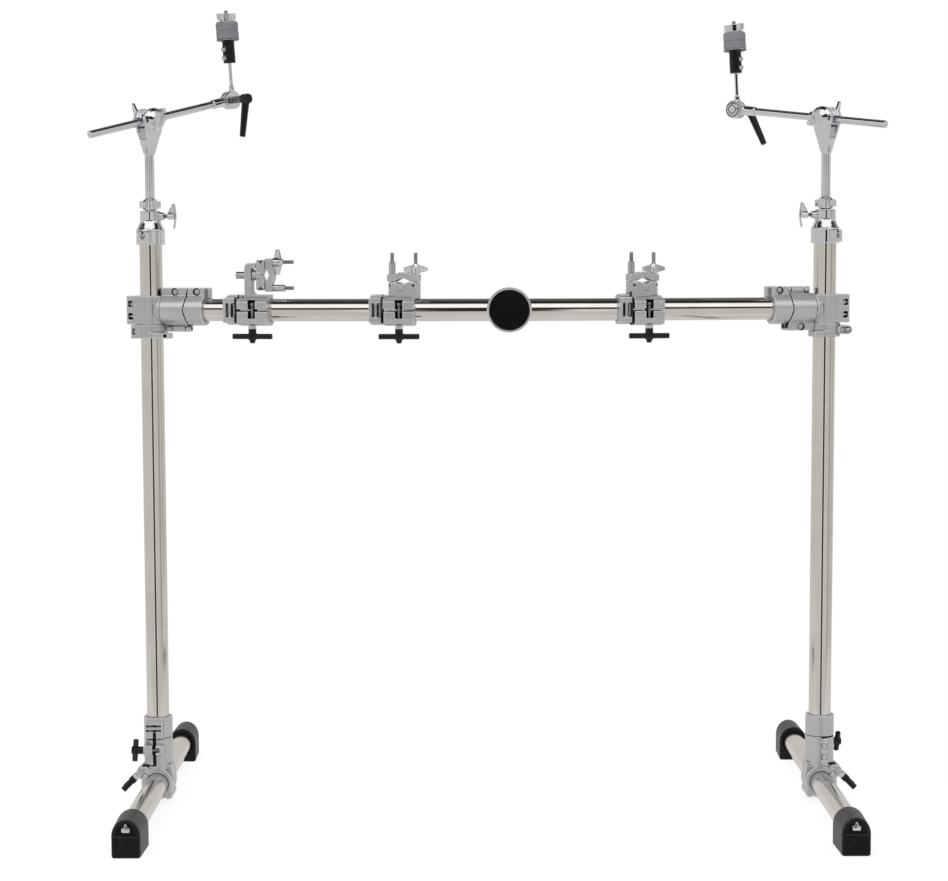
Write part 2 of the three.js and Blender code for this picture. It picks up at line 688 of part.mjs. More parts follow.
function footBore() {
  const [front, back] = [-SADDLE_ROOM, SADDLE_ROOM].map((y) => at(0, y, FOOT_AXIS_HEIGHT));
  return rod(front, back, TUBE_RADIUS + RUNNING_GAP, TUBE_SIDES);
}

// The door's hinge knuckles from the first one on, every other one, each with a web to its wall.
function doorKnuckles(first, webStart, webEnd) {
  const pitch = (LEG_DOOR_TOP - LEG_DOOR_FOOT) / LEG_KNUCKLES;
  const knuckles = [];
  for (let i = first; i < LEG_KNUCKLES; i += 2) {
    const foot = LEG_DOOR_FOOT + i * pitch + SEAT_GAP;
    const top = foot + pitch - 2 * SEAT_GAP;
    const [low, high] = [foot, top].map((z) => at(-LEG_SPLIT_OFFSET, LEG_HINGE_BACK, z));
    knuckles.push(rod(low, high, LEG_HINGE_RADIUS));
    knuckles.push(block(at(webStart, LEG_HINGE_WEB_START, foot), at(webEnd, LEG_HINGE_BACK, top)));
  }
  return joined(...knuckles);
}

// The room in which the door lies, made wider or narrower all round.
function doorRoom(widening) {
  return block(
    at(-SADDLE_ROOM, -SADDLE_ROOM, LEG_DOOR_FOOT - widening),
    at(widening - LEG_SPLIT_OFFSET, SADDLE_ROOM, LEG_DOOR_TOP + widening),
  );
}

function legLug(start, end) {
  return block(
    at(start, -LEG_LUG_FRONT, LEG_BOLT_HEIGHT - LEG_LUG_HALF_HEIGHT),
    at(end, -LEG_LUG_START, LEG_BOLT_HEIGHT + LEG_LUG_HALF_HEIGHT),
  );
}

function legBoltShaft(radius) {
  return rod(
    at(-LEG_LUG_OUTER_REACH - LEG_HUB_LENGTH / 2, -LEG_BOLT_FRONT, LEG_BOLT_HEIGHT),
    at(LEG_SLOT_END - SEAT_GAP, -LEG_BOLT_FRONT, LEG_BOLT_HEIGHT),
    radius,
  );
}

// The lock above the door: a flat front face with a slot, a window and the key bolt in it.
function legLock() {
  const foot = LEG_DOOR_TOP + PARTING_GAP;
  const edge = LEG_LOCK_SLOT_WIDTH;
  const face = block(
    at(-LEG_WINDOW_LEFT - edge, -LEG_LOCK_FACE, foot),
    at(LEG_WINDOW_RIGHT + edge, 0, LEG_LOCK_TOP),
  );
  const window = block(
    at(-LEG_WINDOW_LEFT, -LEG_LOCK_FACE - OVERRUN, LEG_KEY_HEIGHT - LEG_WINDOW_HALF_HEIGHT),
    at(LEG_WINDOW_RIGHT, -TUBE_RADIUS - TUBE_WALL, LEG_KEY_HEIGHT + LEG_WINDOW_HALF_HEIGHT),
  );
  const slot = block(
    at(-LEG_SPLIT_OFFSET - edge / 2, -LEG_LOCK_FACE - OVERRUN, foot - PARTING_GAP / 2),
    at(-LEG_SPLIT_OFFSET + edge / 2, 0, LEG_LOCK_TOP + OVERRUN),
  );
  const keyBolt = rod(
    at(-LEG_WINDOW_LEFT - edge / 2, -LEG_KEY_FRONT, LEG_KEY_HEIGHT),
    at(LEG_WINDOW_RIGHT + edge / 2, -LEG_KEY_FRONT, LEG_KEY_HEIGHT),
    LEG_KEY_RADIUS,
  );
  const ring = rod(at(0, 0, foot), at(0, 0, LEG_LOCK_TOP), LEG_SLEEVE_RADIUS, TUBE_SIDES);
  return joined(cut(joined(ring, face), window, slot), keyBolt);
}

function legClampBody() {
  const groove = rod(
    at(0, 0, LEG_DOOR_TOP - OVERRUN),
    at(0, 0, LEG_DOOR_TOP + 2 * PARTING_GAP),
    LEG_SLEEVE_RADIUS - LEG_GROOVE_DEPTH,
    TUBE_SIDES,
  );
  const sleeve = rod(at(0, 0, LEG_SLEEVE_FOOT), at(0, 0, LEG_DOOR_TOP), LEG_SLEEVE_RADIUS, TUBE_SIDES);
  const hinge = saddlePoint(-SADDLE_HINGE_REACH, 0);
  const shoulderOutline = outline([
    [-LEG_SLEEVE_RADIUS, LEG_DOOR_FOOT - PARTING_GAP],
    [-LEG_SHOULDER_REACH, LEG_SHOULDER_HEIGHT],
    [0, FOOT_AXIS_HEIGHT],
    [hinge.x, hinge.z],
    [LEG_SHOULDER_REACH, LEG_SHOULDER_HEIGHT],
    [LEG_SLEEVE_RADIUS, LEG_DOOR_FOOT + PARTING_GAP],
  ]);
  const shoulder = frontPlate(shoulderOutline, -LEG_SHOULDER_HALF_DEPTH, LEG_SHOULDER_HALF_DEPTH);
  const lugTop = -SADDLE_LUG_RISE - SADDLE_LUG_RADIUS;
  const fork = joined(
    saddleRod(
      SADDLE_LUG_REACH,
      -SADDLE_LUG_RISE,
      -SADDLE_HALF_LENGTH,
      SADDLE_HALF_LENGTH,
      SADDLE_LUG_RADIUS,
    ),
    saddleBlock(0, SADDLE_LUG_REACH, lugTop, 0, SADDLE_HALF_LENGTH),
  );
  const jawRoom = saddleBlock(-SADDLE_ROOM, SADDLE_ROOM, -PARTING_GAP / 2, SADDLE_ROOM, SADDLE_ROOM);
  const knuckleEnd = SADDLE_KNUCKLE_HALF + SEAT_GAP;
  const knuckleRoom = saddleRod(
    -SADDLE_HINGE_REACH,
    0,
    -knuckleEnd,
    knuckleEnd,
    SADDLE_HINGE_RADIUS + RUNNING_GAP,
  );
  const hingeEars = saddleRod(
    -SADDLE_HINGE_REACH,
    0,
    -SADDLE_HALF_LENGTH,
    SADDLE_HALF_LENGTH,
    SADDLE_HINGE_RADIUS,
  );
  const slotStart = SADDLE_LUG_REACH - SWING_EYE_RADIUS - RUNNING_GAP;
  const slotTop = -SADDLE_LUG_RISE - SWING_EYE_RADIUS - RUNNING_GAP;
  const forkSlot = saddleBlock(slotStart, SADDLE_ROOM, slotTop, SADDLE_RADIUS, SADDLE_FORK_HALF);
  const dimples = [-1, 1].map((end) => {
    const face = end * SADDLE_HALF_LENGTH;
    const depth = end * SADDLE_DIMPLE_RADIUS;
    return saddleRod(SADDLE_LUG_REACH, -SADDLE_LUG_RISE, face - depth, face + depth, SADDLE_DIMPLE_RADIUS);
  });
  const lug = legLug(PARTING_GAP / 2 - LEG_SPLIT_OFFSET, LEG_LUG_INNER_REACH);
  const boltSlot = block(
    at(-LEG_LUG_OUTER_REACH, -LEG_LUG_FRONT - OVERRUN, LEG_BOLT_HEIGHT - LEG_SLOT_HALF_HEIGHT),
    at(LEG_SLOT_END, LEG_SLOT_HALF_HEIGHT - LEG_BOLT_FRONT, LEG_BOLT_HEIGHT + LEG_SLOT_HALF_HEIGHT),
  );
  const saddle = joined(cut(joined(sleeve, shoulder, saddleShell(), fork), jawRoom), hingeEars);
  const clamp = cut(
    joined(saddle, lug, groove, legLock()),
    doorRoom(PARTING_GAP / 2),
    boltSlot,
    knuckleRoom,
    forkSlot,
    ...dimples,
    uprightBore(UPRIGHT_FOOT - SEAT_GAP, LEG_LOCK_TOP + OVERRUN),
    footBore(),
  );
  const webStart = PARTING_GAP / 2 - LEG_SPLIT_OFFSET;
  return joined(clamp, doorKnuckles(0, webStart, LEG_HINGE_WEB - LEG_SPLIT_OFFSET));
}

function legDoor() {
  const sleeve = rod(at(0, 0, LEG_DOOR_FOOT), at(0, 0, LEG_DOOR_TOP), LEG_SLEEVE_RADIUS, TUBE_SIDES);
  const wall = joined(sleeve, legLug(-LEG_LUG_OUTER_REACH, 0)).intersect(doorRoom(-PARTING_GAP / 2));
  return joined(
    cut(wall, uprightBore(0, LEG_LOCK_TOP), legBoltShaft(LEG_BOLT_RADIUS + RUNNING_GAP)),
    doorKnuckles(1, -LEG_HINGE_WEB - LEG_SPLIT_OFFSET, -LEG_SPLIT_OFFSET - PARTING_GAP / 2),
  );
}

// The T-bolt of the door: a shaft, a moulded hub and a slanted cross handle.
function legTBolt() {
  const hubStart = -LEG_LUG_OUTER_REACH - RUNNING_GAP;
  const hubEnd = hubStart - LEG_HUB_LENGTH;
  const middle = at(hubEnd + HANDLE_HUB_RADIUS, -LEG_BOLT_FRONT, LEG_BOLT_HEIGHT);
  const slant = at(0, HANDLE_HALF_SPAN / 4, HANDLE_HALF_SPAN / 2);
  const [start, end] = [hubStart, hubEnd].map((x) => at(x, -LEG_BOLT_FRONT, LEG_BOLT_HEIGHT));
  return joined(
    legBoltShaft(LEG_BOLT_RADIUS),
    rod(start, end, HANDLE_HUB_RADIUS),
    rod(middle.clone().sub(slant), middle.clone().add(slant), HANDLE_RADIUS),
  );
}

function footJaw() {
  const blockCorners = [
    saddlePoint(0, PARTING_GAP / 2),
    saddlePoint(JAW_BLOCK_END, PARTING_GAP / 2),
    saddlePoint(JAW_BLOCK_END, JAW_BLOCK_SHOULDER),
    saddlePoint(SADDLE_LUG_REACH, JAW_BLOCK_HEIGHT),
    saddlePoint(0, JAW_BLOCK_HEIGHT),
  ];
  const blockOutline = outline(blockCorners.map((corner) => [corner.x, corner.z]));
  const jawBlock = frontPlate(blockOutline, -JAW_BLOCK_HALF_DEPTH, JAW_BLOCK_HALF_DEPTH);
  const jawRoom = saddleBlock(-SADDLE_ROOM, SADDLE_ROOM, PARTING_GAP / 2, SADDLE_ROOM, SADDLE_ROOM);
  const earRooms = [-1, 1].map((end) =>
    saddleRod(
      -SADDLE_HINGE_REACH,
      0,
      end * SADDLE_KNUCKLE_HALF,
      end * SADDLE_ROOM,
      SADDLE_HINGE_RADIUS + RUNNING_GAP,
    ),
  );
  const knuckle = saddleRod(
    -SADDLE_HINGE_REACH,
    0,
    -SADDLE_KNUCKLE_HALF,
    SADDLE_KNUCKLE_HALF,
    SADDLE_HINGE_RADIUS,
  );
  const slot = saddleBlock(JAW_SLOT_START, SADDLE_ROOM, 0, SADDLE_ROOM, JAW_SLOT_HALF);
  const jaw = cut(joined(saddleShell().intersect(jawRoom), jawBlock), ...earRooms);
  return cut(joined(jaw, knuckle), slot, footBore());
}

// The swing bolt of the saddle: an eye in the lug's fork, a shaft and a moulded wing nut.
function footWingBolt() {
  const nutStart = JAW_BLOCK_HEIGHT + 2 * RUNNING_GAP;
  const nutEnd = nutStart + SWING_NUT_LENGTH;
  const eyeHalf = JAW_SLOT_HALF - RUNNING_GAP;
  const onBolt = (drop) => saddlePoint(SADDLE_LUG_REACH, drop);
  const [top, start, end] = [-SADDLE_LUG_RISE, nutStart, nutEnd].map(onBolt);
  const lobes = [-1, 1].map((way) =>
    rod(
      saddlePoint(SADDLE_LUG_REACH, nutEnd - SWING_LOBE_RADIUS, (way * SWING_NUT_RADIUS) / 2),
      saddlePoint(SADDLE_LUG_REACH, nutEnd + SWING_LOBE_LENGTH, way * SWING_LOBE_SPREAD),
      SWING_LOBE_RADIUS,
    ),
  );
  return joined(
    saddleRod(SADDLE_LUG_REACH, -SADDLE_LUG_RISE, -eyeHalf, eyeHalf, SWING_EYE_RADIUS),
    rod(top, end, SWING_SHAFT_RADIUS),
    rod(start, end, SWING_NUT_RADIUS),
    ...lobes,
  );
}

// One leg: the clamp, its door, its saddle jaw and their bolts, with the inner side of the rack at +X.
function addLeg(side) {
  const leg = addGroup(rack, at(side.place * HALF_SPACING, 0, 0), 0, 0, side.flip);
  const doorHinge = at(-LEG_SPLIT_OFFSET, LEG_HINGE_BACK, LEG_DOOR_FOOT);
  const boltAxis = at(-LEG_LUG_OUTER_REACH, -LEG_BOLT_FRONT, LEG_BOLT_HEIGHT);
  const jawHinge = saddlePoint(-SADDLE_HINGE_REACH, 0);
  const boltPin = saddlePoint(SADDLE_LUG_REACH, -SADDLE_LUG_RISE);
  addPiece(leg, `${side.name}_leg_clamp`, legClampBody(), SATIN_CAST);
  addPiece(leg, `${side.name}_leg_door`, legDoor(), SATIN_CAST, doorHinge);
  addPiece(leg, `${side.name}_leg_t_bolt`, legTBolt(), BLACK_PLASTIC, boltAxis);
  addPiece(leg, `${side.name}_foot_jaw`, footJaw(), SATIN_CAST, jawHinge);
  addPiece(leg, `${side.name}_foot_wing_bolt`, footWingBolt(), BLACK_PLASTIC, boltPin);
  const [foot, top] = [UPRIGHT_FOOT, UPRIGHT_TOP].map((z) => at(0, 0, z));
  addPiece(leg, `${side.name}_upright`, tube(foot, top, TUBE_RADIUS, TUBE_WALL), STAINLESS, foot);
}

// T-clamps

// The room in front of the bar on one side of the slanted parting between the cap and the bar lock.
function partingRoom(lift, shift, end) {
  const pairs = T_PARTING_PLACES.map((place, i) => [place + shift, lift * T_PARTING_HEIGHTS[i]]);
  const heights = [pairs[pairs.length - 1][1], pairs[0][1]];
  const path = [...pairs, ...heights.map((height) => [end, height])];
  return frontPlate(outline(path), -2 * T_SLEEVE_RADIUS, -PARTING_GAP / 2);
}

// A round well on the front of an ear, and the bolt head that sits in it.
function earWell(place, rise) {
  const front = -T_EAR_HALF_DEPTH - OVERRUN;
  return rod(at(place, front, rise), at(place, T_WELL_DEPTH - T_EAR_HALF_DEPTH, rise), T_WELL_RADIUS);
}

function earBolt(place, rise) {
  const floor = T_WELL_DEPTH - T_EAR_HALF_DEPTH;
  return rod(at(place, floor + PARTING_GAP, rise), at(place, floor - T_BOLT_HEIGHT, rise), T_BOLT_RADIUS);
}

// The hinge of the bar cap under the branch, between two shares of its length, with its web.
function capKnuckle(fromShare, toShare, webFront, webBack) {
  const start = THREE.MathUtils.lerp(T_HINGE_START, T_REAR_END, fromShare) + SEAT_GAP;
  const end = THREE.MathUtils.lerp(T_HINGE_START, T_REAR_END, toShare) - SEAT_GAP;
  return joined(
    rod(at(start, 0, -T_HINGE_DROP), at(end, 0, -T_HINGE_DROP), T_HINGE_RADIUS),
    block(at(start, webFront, -T_HINGE_DROP), at(end, webBack, -TUBE_RADIUS - TUBE_WALL)),
  );
}

// The radius of a faceted room in which a round piece of a radius can turn.
const turningRoom = (radius) => radius / Math.cos(Math.PI / TUBE_SIDES) + RUNNING_GAP;

// The room for the lock ring below the clamp, which turns with the upright.
function ringRoom(lift) {
  const top = -lift * (T_HALF_HEIGHT + RING_GAP / 2);
  const bottom = top - lift * 2 * RING_HEIGHT;
  return rod(at(0, 0, top), at(0, 0, bottom), turningRoom(T_SLEEVE_RADIUS), TUBE_SIDES);
}

// The room that the open cap leaves to a lock ring on the side of its hinge.
function swingRoom() {
  const halfChord = Math.sqrt(T_SLEEVE_RADIUS ** 2 - T_CAP_START ** 2);
  const reach = Math.hypot(halfChord, T_HINGE_DROP - T_HALF_HEIGHT - RING_GAP);
  const [start, end] = [ORIGIN, at(T_HINGE_START, 0, 0)].map((place) => place.clone().setZ(-T_HINGE_DROP));
  return rod(start, end, turningRoom(reach), TUBE_SIDES);
}

const barSleeve = (start, end) => rod(at(start, 0, 0), at(end, 0, 0), T_SLEEVE_RADIUS, TUBE_SIDES);

// The bar lock beside the cap: a split ring with ears and a longer plate behind them.
function barLock(lift) {
  const wellRise = lift * T_WELL_RISE;
  const backRoom = block(
    at(0, -PARTING_GAP, -T_SLEEVE_RADIUS),
    at(T_PLATE_END, T_SLEEVE_RADIUS, T_SLEEVE_RADIUS),
  );
  const backRing = barSleeve(T_LOCK_START, T_LOCK_END).intersect(backRoom);
  const frontEar = block(
    at(T_CAP_START, -T_EAR_HALF_DEPTH, 0),
    at(T_LOCK_END, -PARTING_GAP / 2, lift * T_EAR_HEIGHT),
  );
  const frontRing = joined(barSleeve(T_CAP_START, T_LOCK_END), frontEar).intersect(
    partingRoom(lift, PARTING_GAP / 2, T_PLATE_END),
  );
  const backEar = block(
    at(T_LOCK_START, PARTING_GAP / 2, 0),
    at(T_LOCK_END, T_EAR_HALF_DEPTH, lift * T_EAR_HEIGHT),
  );
  const backPlate = block(
    at(T_LOCK_START, PARTING_GAP / 2, lift * T_PLATE_FOOT),
    at(T_PLATE_END, T_EAR_HALF_DEPTH, lift * T_EAR_HEIGHT),
  );
  const ring = joined(cut(frontRing, earWell(T_LOCK_WELL, wellRise)), backRing);
  return joined(ring, backEar, backPlate, earBolt(T_LOCK_WELL, wellRise));
}

// The fixed back half of the branch, with its ear, its two hinge knuckles and the bridge to the lock.
function fixedBranch() {
  const backRoom = block(
    at(0, PARTING_GAP / 2, -T_SLEEVE_RADIUS),
    at(T_PLATE_END, T_SLEEVE_RADIUS, T_SLEEVE_RADIUS),
  );
  const shell = barSleeve(T_BRANCH_END - SEAT_GAP, T_REAR_END).intersect(backRoom);
  const ear = block(at(T_CAP_START, PARTING_GAP / 2, 0), at(T_REAR_END, T_EAR_HALF_DEPTH, T_EAR_HEIGHT));
  const bridge = block(
    at(T_REAR_END - T_BRIDGE_DEPTH, T_SLEEVE_RADIUS - T_BRIDGE_DEPTH, -T_BRIDGE_HALF_HEIGHT),
    at(T_LOCK_START + T_BRIDGE_DEPTH, T_SLEEVE_RADIUS, T_BRIDGE_HALF_HEIGHT),
  );
  const [first, second, third, last] = T_KNUCKLE_SHARES;
  return joined(
    shell,
    ear,
    bridge,
    capKnuckle(first, second, PARTING_GAP / 2, T_HINGE_WEB),
    capKnuckle(third, last, PARTING_GAP / 2, T_HINGE_WEB),
  );
}

function tClampBody(group, lift) {
  const face = block(
    at(-T_EAR_REACH, -T_SLEEVE_RADIUS, -T_HALF_HEIGHT),
    at(T_FACE_END, T_SLEEVE_RADIUS, T_HALF_HEIGHT),
  );
  const branchRoom = block(
    at(T_BRANCH_END, -2 * T_SLEEVE_RADIUS, -2 * T_HALF_HEIGHT),
    at(2 * T_BRANCH_END, 2 * T_SLEEVE_RADIUS, 2 * T_HALF_HEIGHT),
  );
  const sleeve = rod(at(0, 0, -T_HALF_HEIGHT), at(0, 0, T_HALF_HEIGHT), T_SLEEVE_RADIUS, TUBE_SIDES);
  const branch = rod(ORIGIN, at(T_BRANCH_END, 0, 0), T_BRANCH_RADIUS, TUBE_SIDES);
  const earSplit = block(
    at(-T_EAR_REACH - OVERRUN, -PARTING_GAP, -T_HALF_HEIGHT - OVERRUN),
    at(T_SPLIT_DEPTH - T_EAR_REACH, PARTING_GAP, T_HALF_HEIGHT + OVERRUN),
  );
  const slotLeft = T_SLOT_EDGE - T_EAR_REACH;
  const floor = T_SLOT_DEPTH - T_SLEEVE_RADIUS;
  const slots = [-1, 1].map((end) =>
    block(
      at(slotLeft, -T_SLEEVE_RADIUS - OVERRUN, end * T_SLOT_RISE - T_SLOT_HEIGHT / 2),
      at(slotLeft + T_SLOT_WIDTH, floor, end * T_SLOT_RISE + T_SLOT_HEIGHT / 2),
    ),
  );
  const bolts = [-1, 1].map((end) => {
    const [back, front] = [floor + PARTING_GAP, floor - T_BOLT_HEIGHT];
    const [start, tip] = [back, front].map((y) => at(slotLeft + T_SLOT_WIDTH / 2, y, end * T_SLOT_RISE));
    return rod(start, tip, KEY_BOLT_RADIUS);
  });
  const hub = cut(joined(face, sleeve, branch), branchRoom, earSplit, ...slots);
  const clamp = joined(hub, cut(fixedBranch(), ringRoom(lift)), barLock(lift));
  const bored = cut(
    clamp,
    uprightBore(-T_HALF_HEIGHT - OVERRUN, T_HALF_HEIGHT + OVERRUN),
    barBore(group, BAR_GAP),
  );
  return joined(bored, ...bolts);
}

function tClampCap(group, lift) {
  const ear = block(at(T_CAP_START, -T_EAR_HALF_DEPTH, 0), at(T_LOCK_END, -PARTING_GAP / 2, T_EAR_HEIGHT));
  const shell = joined(barSleeve(T_CAP_START, T_LOCK_END), ear).intersect(
    partingRoom(lift, -PARTING_GAP / 2, 0),
  );
  const [, second, third] = T_KNUCKLE_SHARES;
  const cap = joined(shell, capKnuckle(second, third, -T_HINGE_WEB, -PARTING_GAP / 2));
  const rooms = lift > 0 ? [ringRoom(lift), swingRoom()] : [ringRoom(lift)];
  return joined(
    cut(cap, earWell(T_CAP_WELL, T_WELL_RISE), barBore(group, BAR_GAP), ...rooms),
    earBolt(T_CAP_WELL, T_WELL_RISE),
  );
}

// An oval housing on the outer front corner of the lock ring, with two key bolts in it.
function keyHousing() {
  const middle = -RING_OVAL_PLACE;
  const spread = RING_OVAL_HALF_LENGTH - RING_OVAL_RADIUS;
  const face = -T_SLEEVE_RADIUS - RING_OVAL_RIM;
  const oval = (radius) => {
    const shape = new THREE.Shape();
    shape.absarc(middle + spread, 0, radius, -Math.PI / 2, Math.PI / 2);
    shape.absarc(middle - spread, 0, radius, Math.PI / 2, 1.5 * Math.PI);
    return shape;
  };
  const heads = [-1, 1].map((end) => {
    const place = middle + end * spread;
    const back = face + RING_OVAL_DEPTH + PARTING_GAP;
    return rod(at(place, back, 0), at(place, face + PARTING_GAP, 0), KEY_BOLT_RADIUS);
  });
  const housing = frontPlate(oval(RING_OVAL_RADIUS), face, -RING_EAR_BACK);
  const hollow = frontPlate(oval(RING_OVAL_RADIUS - RING_OVAL_RIM), face - OVERRUN, face + RING_OVAL_DEPTH);
  return joined(cut(housing, hollow), ...heads);
}

// The lock ring on the upright, in a frame at its middle height with the rack's inner side at +X.
function uprightLock(side) {
  const half = RING_HEIGHT / 2;
  const ring = rod(at(0, 0, -half), at(0, 0, half), T_SLEEVE_RADIUS, TUBE_SIDES);
  const innerEar = block(
    at(0, -T_SLEEVE_RADIUS, -side.lift * half),
    at(side.innerReach, -RING_EAR_BACK, side.lift * (RING_EAR_HEIGHT - half)),
  );
  const bore = uprightBore(-half - OVERRUN, half + OVERRUN);
  const split = block(
    at(-PARTING_GAP / 2, 0, -half - OVERRUN),
    at(PARTING_GAP / 2, 2 * T_SLEEVE_RADIUS, half + OVERRUN),
  );
  if (side.flip) return cut(joined(ring, innerEar, keyHousing()), bore, split);
  const outerEar = block(at(-RING_OUTER_REACH, -T_SLEEVE_RADIUS, -half), at(0, -RING_EAR_BACK, half));
  const slotLeft = T_SLOT_EDGE - RING_OUTER_REACH;
  const slot = block(
    at(slotLeft, -T_SLEEVE_RADIUS - OVERRUN, -T_SLOT_HEIGHT / 2),
    at(slotLeft + RING_SLOT_WIDTH, RING_OVAL_DEPTH - T_SLEEVE_RADIUS, T_SLOT_HEIGHT / 2),
  );
  const wellHeight = RING_EAR_HEIGHT / 2 - half;
  const well = rod(
    at(RING_WELL_PLACE, -T_SLEEVE_RADIUS - OVERRUN, wellHeight),
    at(RING_WELL_PLACE, -RING_EAR_BACK - OVERRUN, wellHeight),
    RING_WELL_RADIUS,
  );
  return cut(joined(ring, innerEar, outerEar), bore, split, slot, well);
}

// One crossing: the T-clamp and its bar cap, half turned on the right, and the lock ring below.
function addCrossing(side) {
  const middle = at(side.place * HALF_SPACING, 0, BAR_HEIGHT);
  const crossing = addGroup(rack, middle, 0, side.flip, T_TURN);
  addPiece(crossing, `${side.name}_t_clamp`, tClampBody(crossing, side.lift), SATIN_CAST);
  const capHinge = at(0, 0, -T_HINGE_DROP);
  addPiece(crossing, `${side.name}_t_clamp_cap`, tClampCap(crossing, side.lift), SATIN_CAST, capHinge);
  const ringDrop = T_HALF_HEIGHT + RING_GAP + RING_HEIGHT / 2;
  const ringPlace = middle.clone().addScaledVector(ALONG_Z, -ringDrop);
  const ring = addGroup(rack, ringPlace, 0, side.flip, T_TURN);
  addPiece(ring, `${side.name}_upright_lock`, uprightLock(side), SATIN_CAST);
}

// Cross bar and badge

function addBar() {
  const outside = solidOf(arcGeometry(TUBE_RADIUS, BAR_HALF_ANGLE, TUBE_SIDES));
  const overrunAngle = BAR_HALF_ANGLE + OVERRUN / ARC_RADIUS;
  const bore = solidOf(arcGeometry(TUBE_RADIUS - TUBE_WALL, overrunAngle, BORE_SIDES));
  addPiece(rack, 'curved_bar', cut(outside, bore), STAINLESS);
}

function addBadge() {
  const group = addBarGroup(BADGE_PLACE);
  const edge = BADGE_RADIUS - BADGE_RIM;
  const disc = turned(
    [
      [0, 0],
      [BADGE_RADIUS, 0],
      [BADGE_RADIUS, BADGE_THICKNESS - BADGE_RECESS],
      [BADGE_RADIUS - BADGE_RECESS, BADGE_THICKNESS],
      [edge, BADGE_THICKNESS],
      [edge, BADGE_THICKNESS - BADGE_RECESS],
      [0, BADGE_THICKNESS - BADGE_RECESS],
    ],
    at(0, -BADGE_BACK, 0),
    at(0, -1, 0),
    BADGE_SIDES,
  );
  const saddle = block(
    at(-BADGE_SADDLE_HALF, -BADGE_BACK - BADGE_RECESS, -BADGE_SADDLE_HALF),
    at(BADGE_SADDLE_HALF, BADGE_SADDLE_DEPTH - BADGE_BACK, BADGE_SADDLE_HALF),
  );
  addPiece(group, 'bar_badge', cut(joined(disc, saddle), barBore(group, SEAT_GAP)), BLACK_ENAMEL);
}

// V-clamps

// A prism through a V-clamp from front to back.
function vPrism(pairs, halfDepth) {
  return frontPlate(outline(pairs), -halfDepth, halfDepth);
}

// The base below its frame: chamfered corners, a V notch and a small pad below it.
function vBase(height) {
  const [x, y] = [V_BASE_HALF_WIDTH, V_BASE_HALF_DEPTH];
  const corner = V_BASE_CHAMFER;
  const body = topPlate(
    outline([
      [-x, corner - y],
      [corner - x, -y],
      [x - corner, -y],
      [x, corner - y],
      [x, y],
      [-x, y],
    ]),
    -height,
    0,
  );
  const pad = block(
    at(-V_PAD_HALF_WIDTH, -y - V_PAD_THICKNESS, -V_NOTCH_DEPTH - V_PAD_HEIGHT),
    at(V_PAD_HALF_WIDTH, 0, -V_NOTCH_DEPTH),
  );
  const rise = (OVERRUN * V_NOTCH_HALF_WIDTH) / V_NOTCH_DEPTH;
  const notch = vPrism(
    [
      [0, -V_NOTCH_DEPTH],
      [V_NOTCH_HALF_WIDTH + rise, OVERRUN],
      [-V_NOTCH_HALF_WIDTH - rise, OVERRUN],
    ],
    2 * y,
  );
  return joined(cut(joined(body, pad), notch), ...vStuds());
}

function vStuds() {
  return [-1, 1].map((end) => {
    const place = end * STUD_HALF_SPACING;
    return rod(at(place, 0, -STUD_DEPTH), at(place, 0, STUD_LENGTH), STUD_RADIUS);
  });
}

function studHole(place, foot, top) {
  return rod(at(place, 0, foot - OVERRUN), at(place, 0, top + OVERRUN), STUD_RADIUS + RUNNING_GAP);
}

// The jaw over the base, with a key nut on one stud (keySide is -1 or 1).
function vJaw(keySide) {
  const foot = 2 * SEAT_GAP;
  const half = V_JAW_HALF_WIDTH;
  const crown = V_JAW_CROWN_HALF_WIDTH;
  const shape = new THREE.Shape();
  shape.moveTo(-half, foot);
  shape.lineTo(-V_JAW_NOTCH_HALF_WIDTH, foot);
  shape.lineTo(0, V_JAW_NOTCH_HEIGHT);
  shape.lineTo(V_JAW_NOTCH_HALF_WIDTH, foot);
  shape.lineTo(half, foot);
  shape.lineTo(half, V_JAW_EAR_HEIGHT);
  shape.lineTo(crown, V_JAW_EAR_HEIGHT);
  shape.quadraticCurveTo(0, 2 * V_JAW_CROWN_HEIGHT - V_JAW_EAR_HEIGHT, -crown, V_JAW_EAR_HEIGHT);
  shape.lineTo(-half, V_JAW_EAR_HEIGHT);
  const nutPlace = keySide * STUD_HALF_SPACING;
  const nutTop = V_JAW_EAR_HEIGHT + KEY_NUT_HEIGHT;
  const nut = rod(at(nutPlace, 0, V_JAW_EAR_HEIGHT - OVERRUN), at(nutPlace, 0, nutTop), KEY_NUT_RADIUS);
  const holes = [-1, 1].map((end) => studHole(end * STUD_HALF_SPACING, 0, nutTop));
  return cut(joined(frontPlate(shape, -V_JAW_HALF_DEPTH, V_JAW_HALF_DEPTH), nut), ...holes);
}

// The wing nut that presses the jaw down, round the origin of its own frame.
function wingNut() {
  const hub = turned(
    [
      [0, 0],
      [WING_HUB_RADIUS, 0],
      [WING_HUB_RADIUS, WING_TIP_HEIGHT],
      [STUD_RADIUS + 2 * RUNNING_GAP, WING_HUB_HEIGHT],
      [0, WING_HUB_HEIGHT],
    ],
    ORIGIN,
    ALONG_Z,
  );
  const wings = vPrism(
    [
      [-WING_HUB_RADIUS, WING_FOOT - OVERRUN],
      [WING_HUB_RADIUS, WING_FOOT - OVERRUN],
      [WING_HALF_SPAN, WING_FOOT],
      [WING_HALF_SPAN, WING_TIP_HEIGHT],
      [WING_HUB_RADIUS, WING_HUB_HEIGHT - OVERRUN],
      [-WING_HUB_RADIUS, WING_HUB_HEIGHT - OVERRUN],
      [-WING_HALF_SPAN, WING_TIP_HEIGHT],
      [-WING_HALF_SPAN, WING_FOOT],
    ],
    WING_HALF_THICKNESS,
  );
  return cut(joined(hub, wings), studHole(0, 0, WING_HUB_HEIGHT));
}

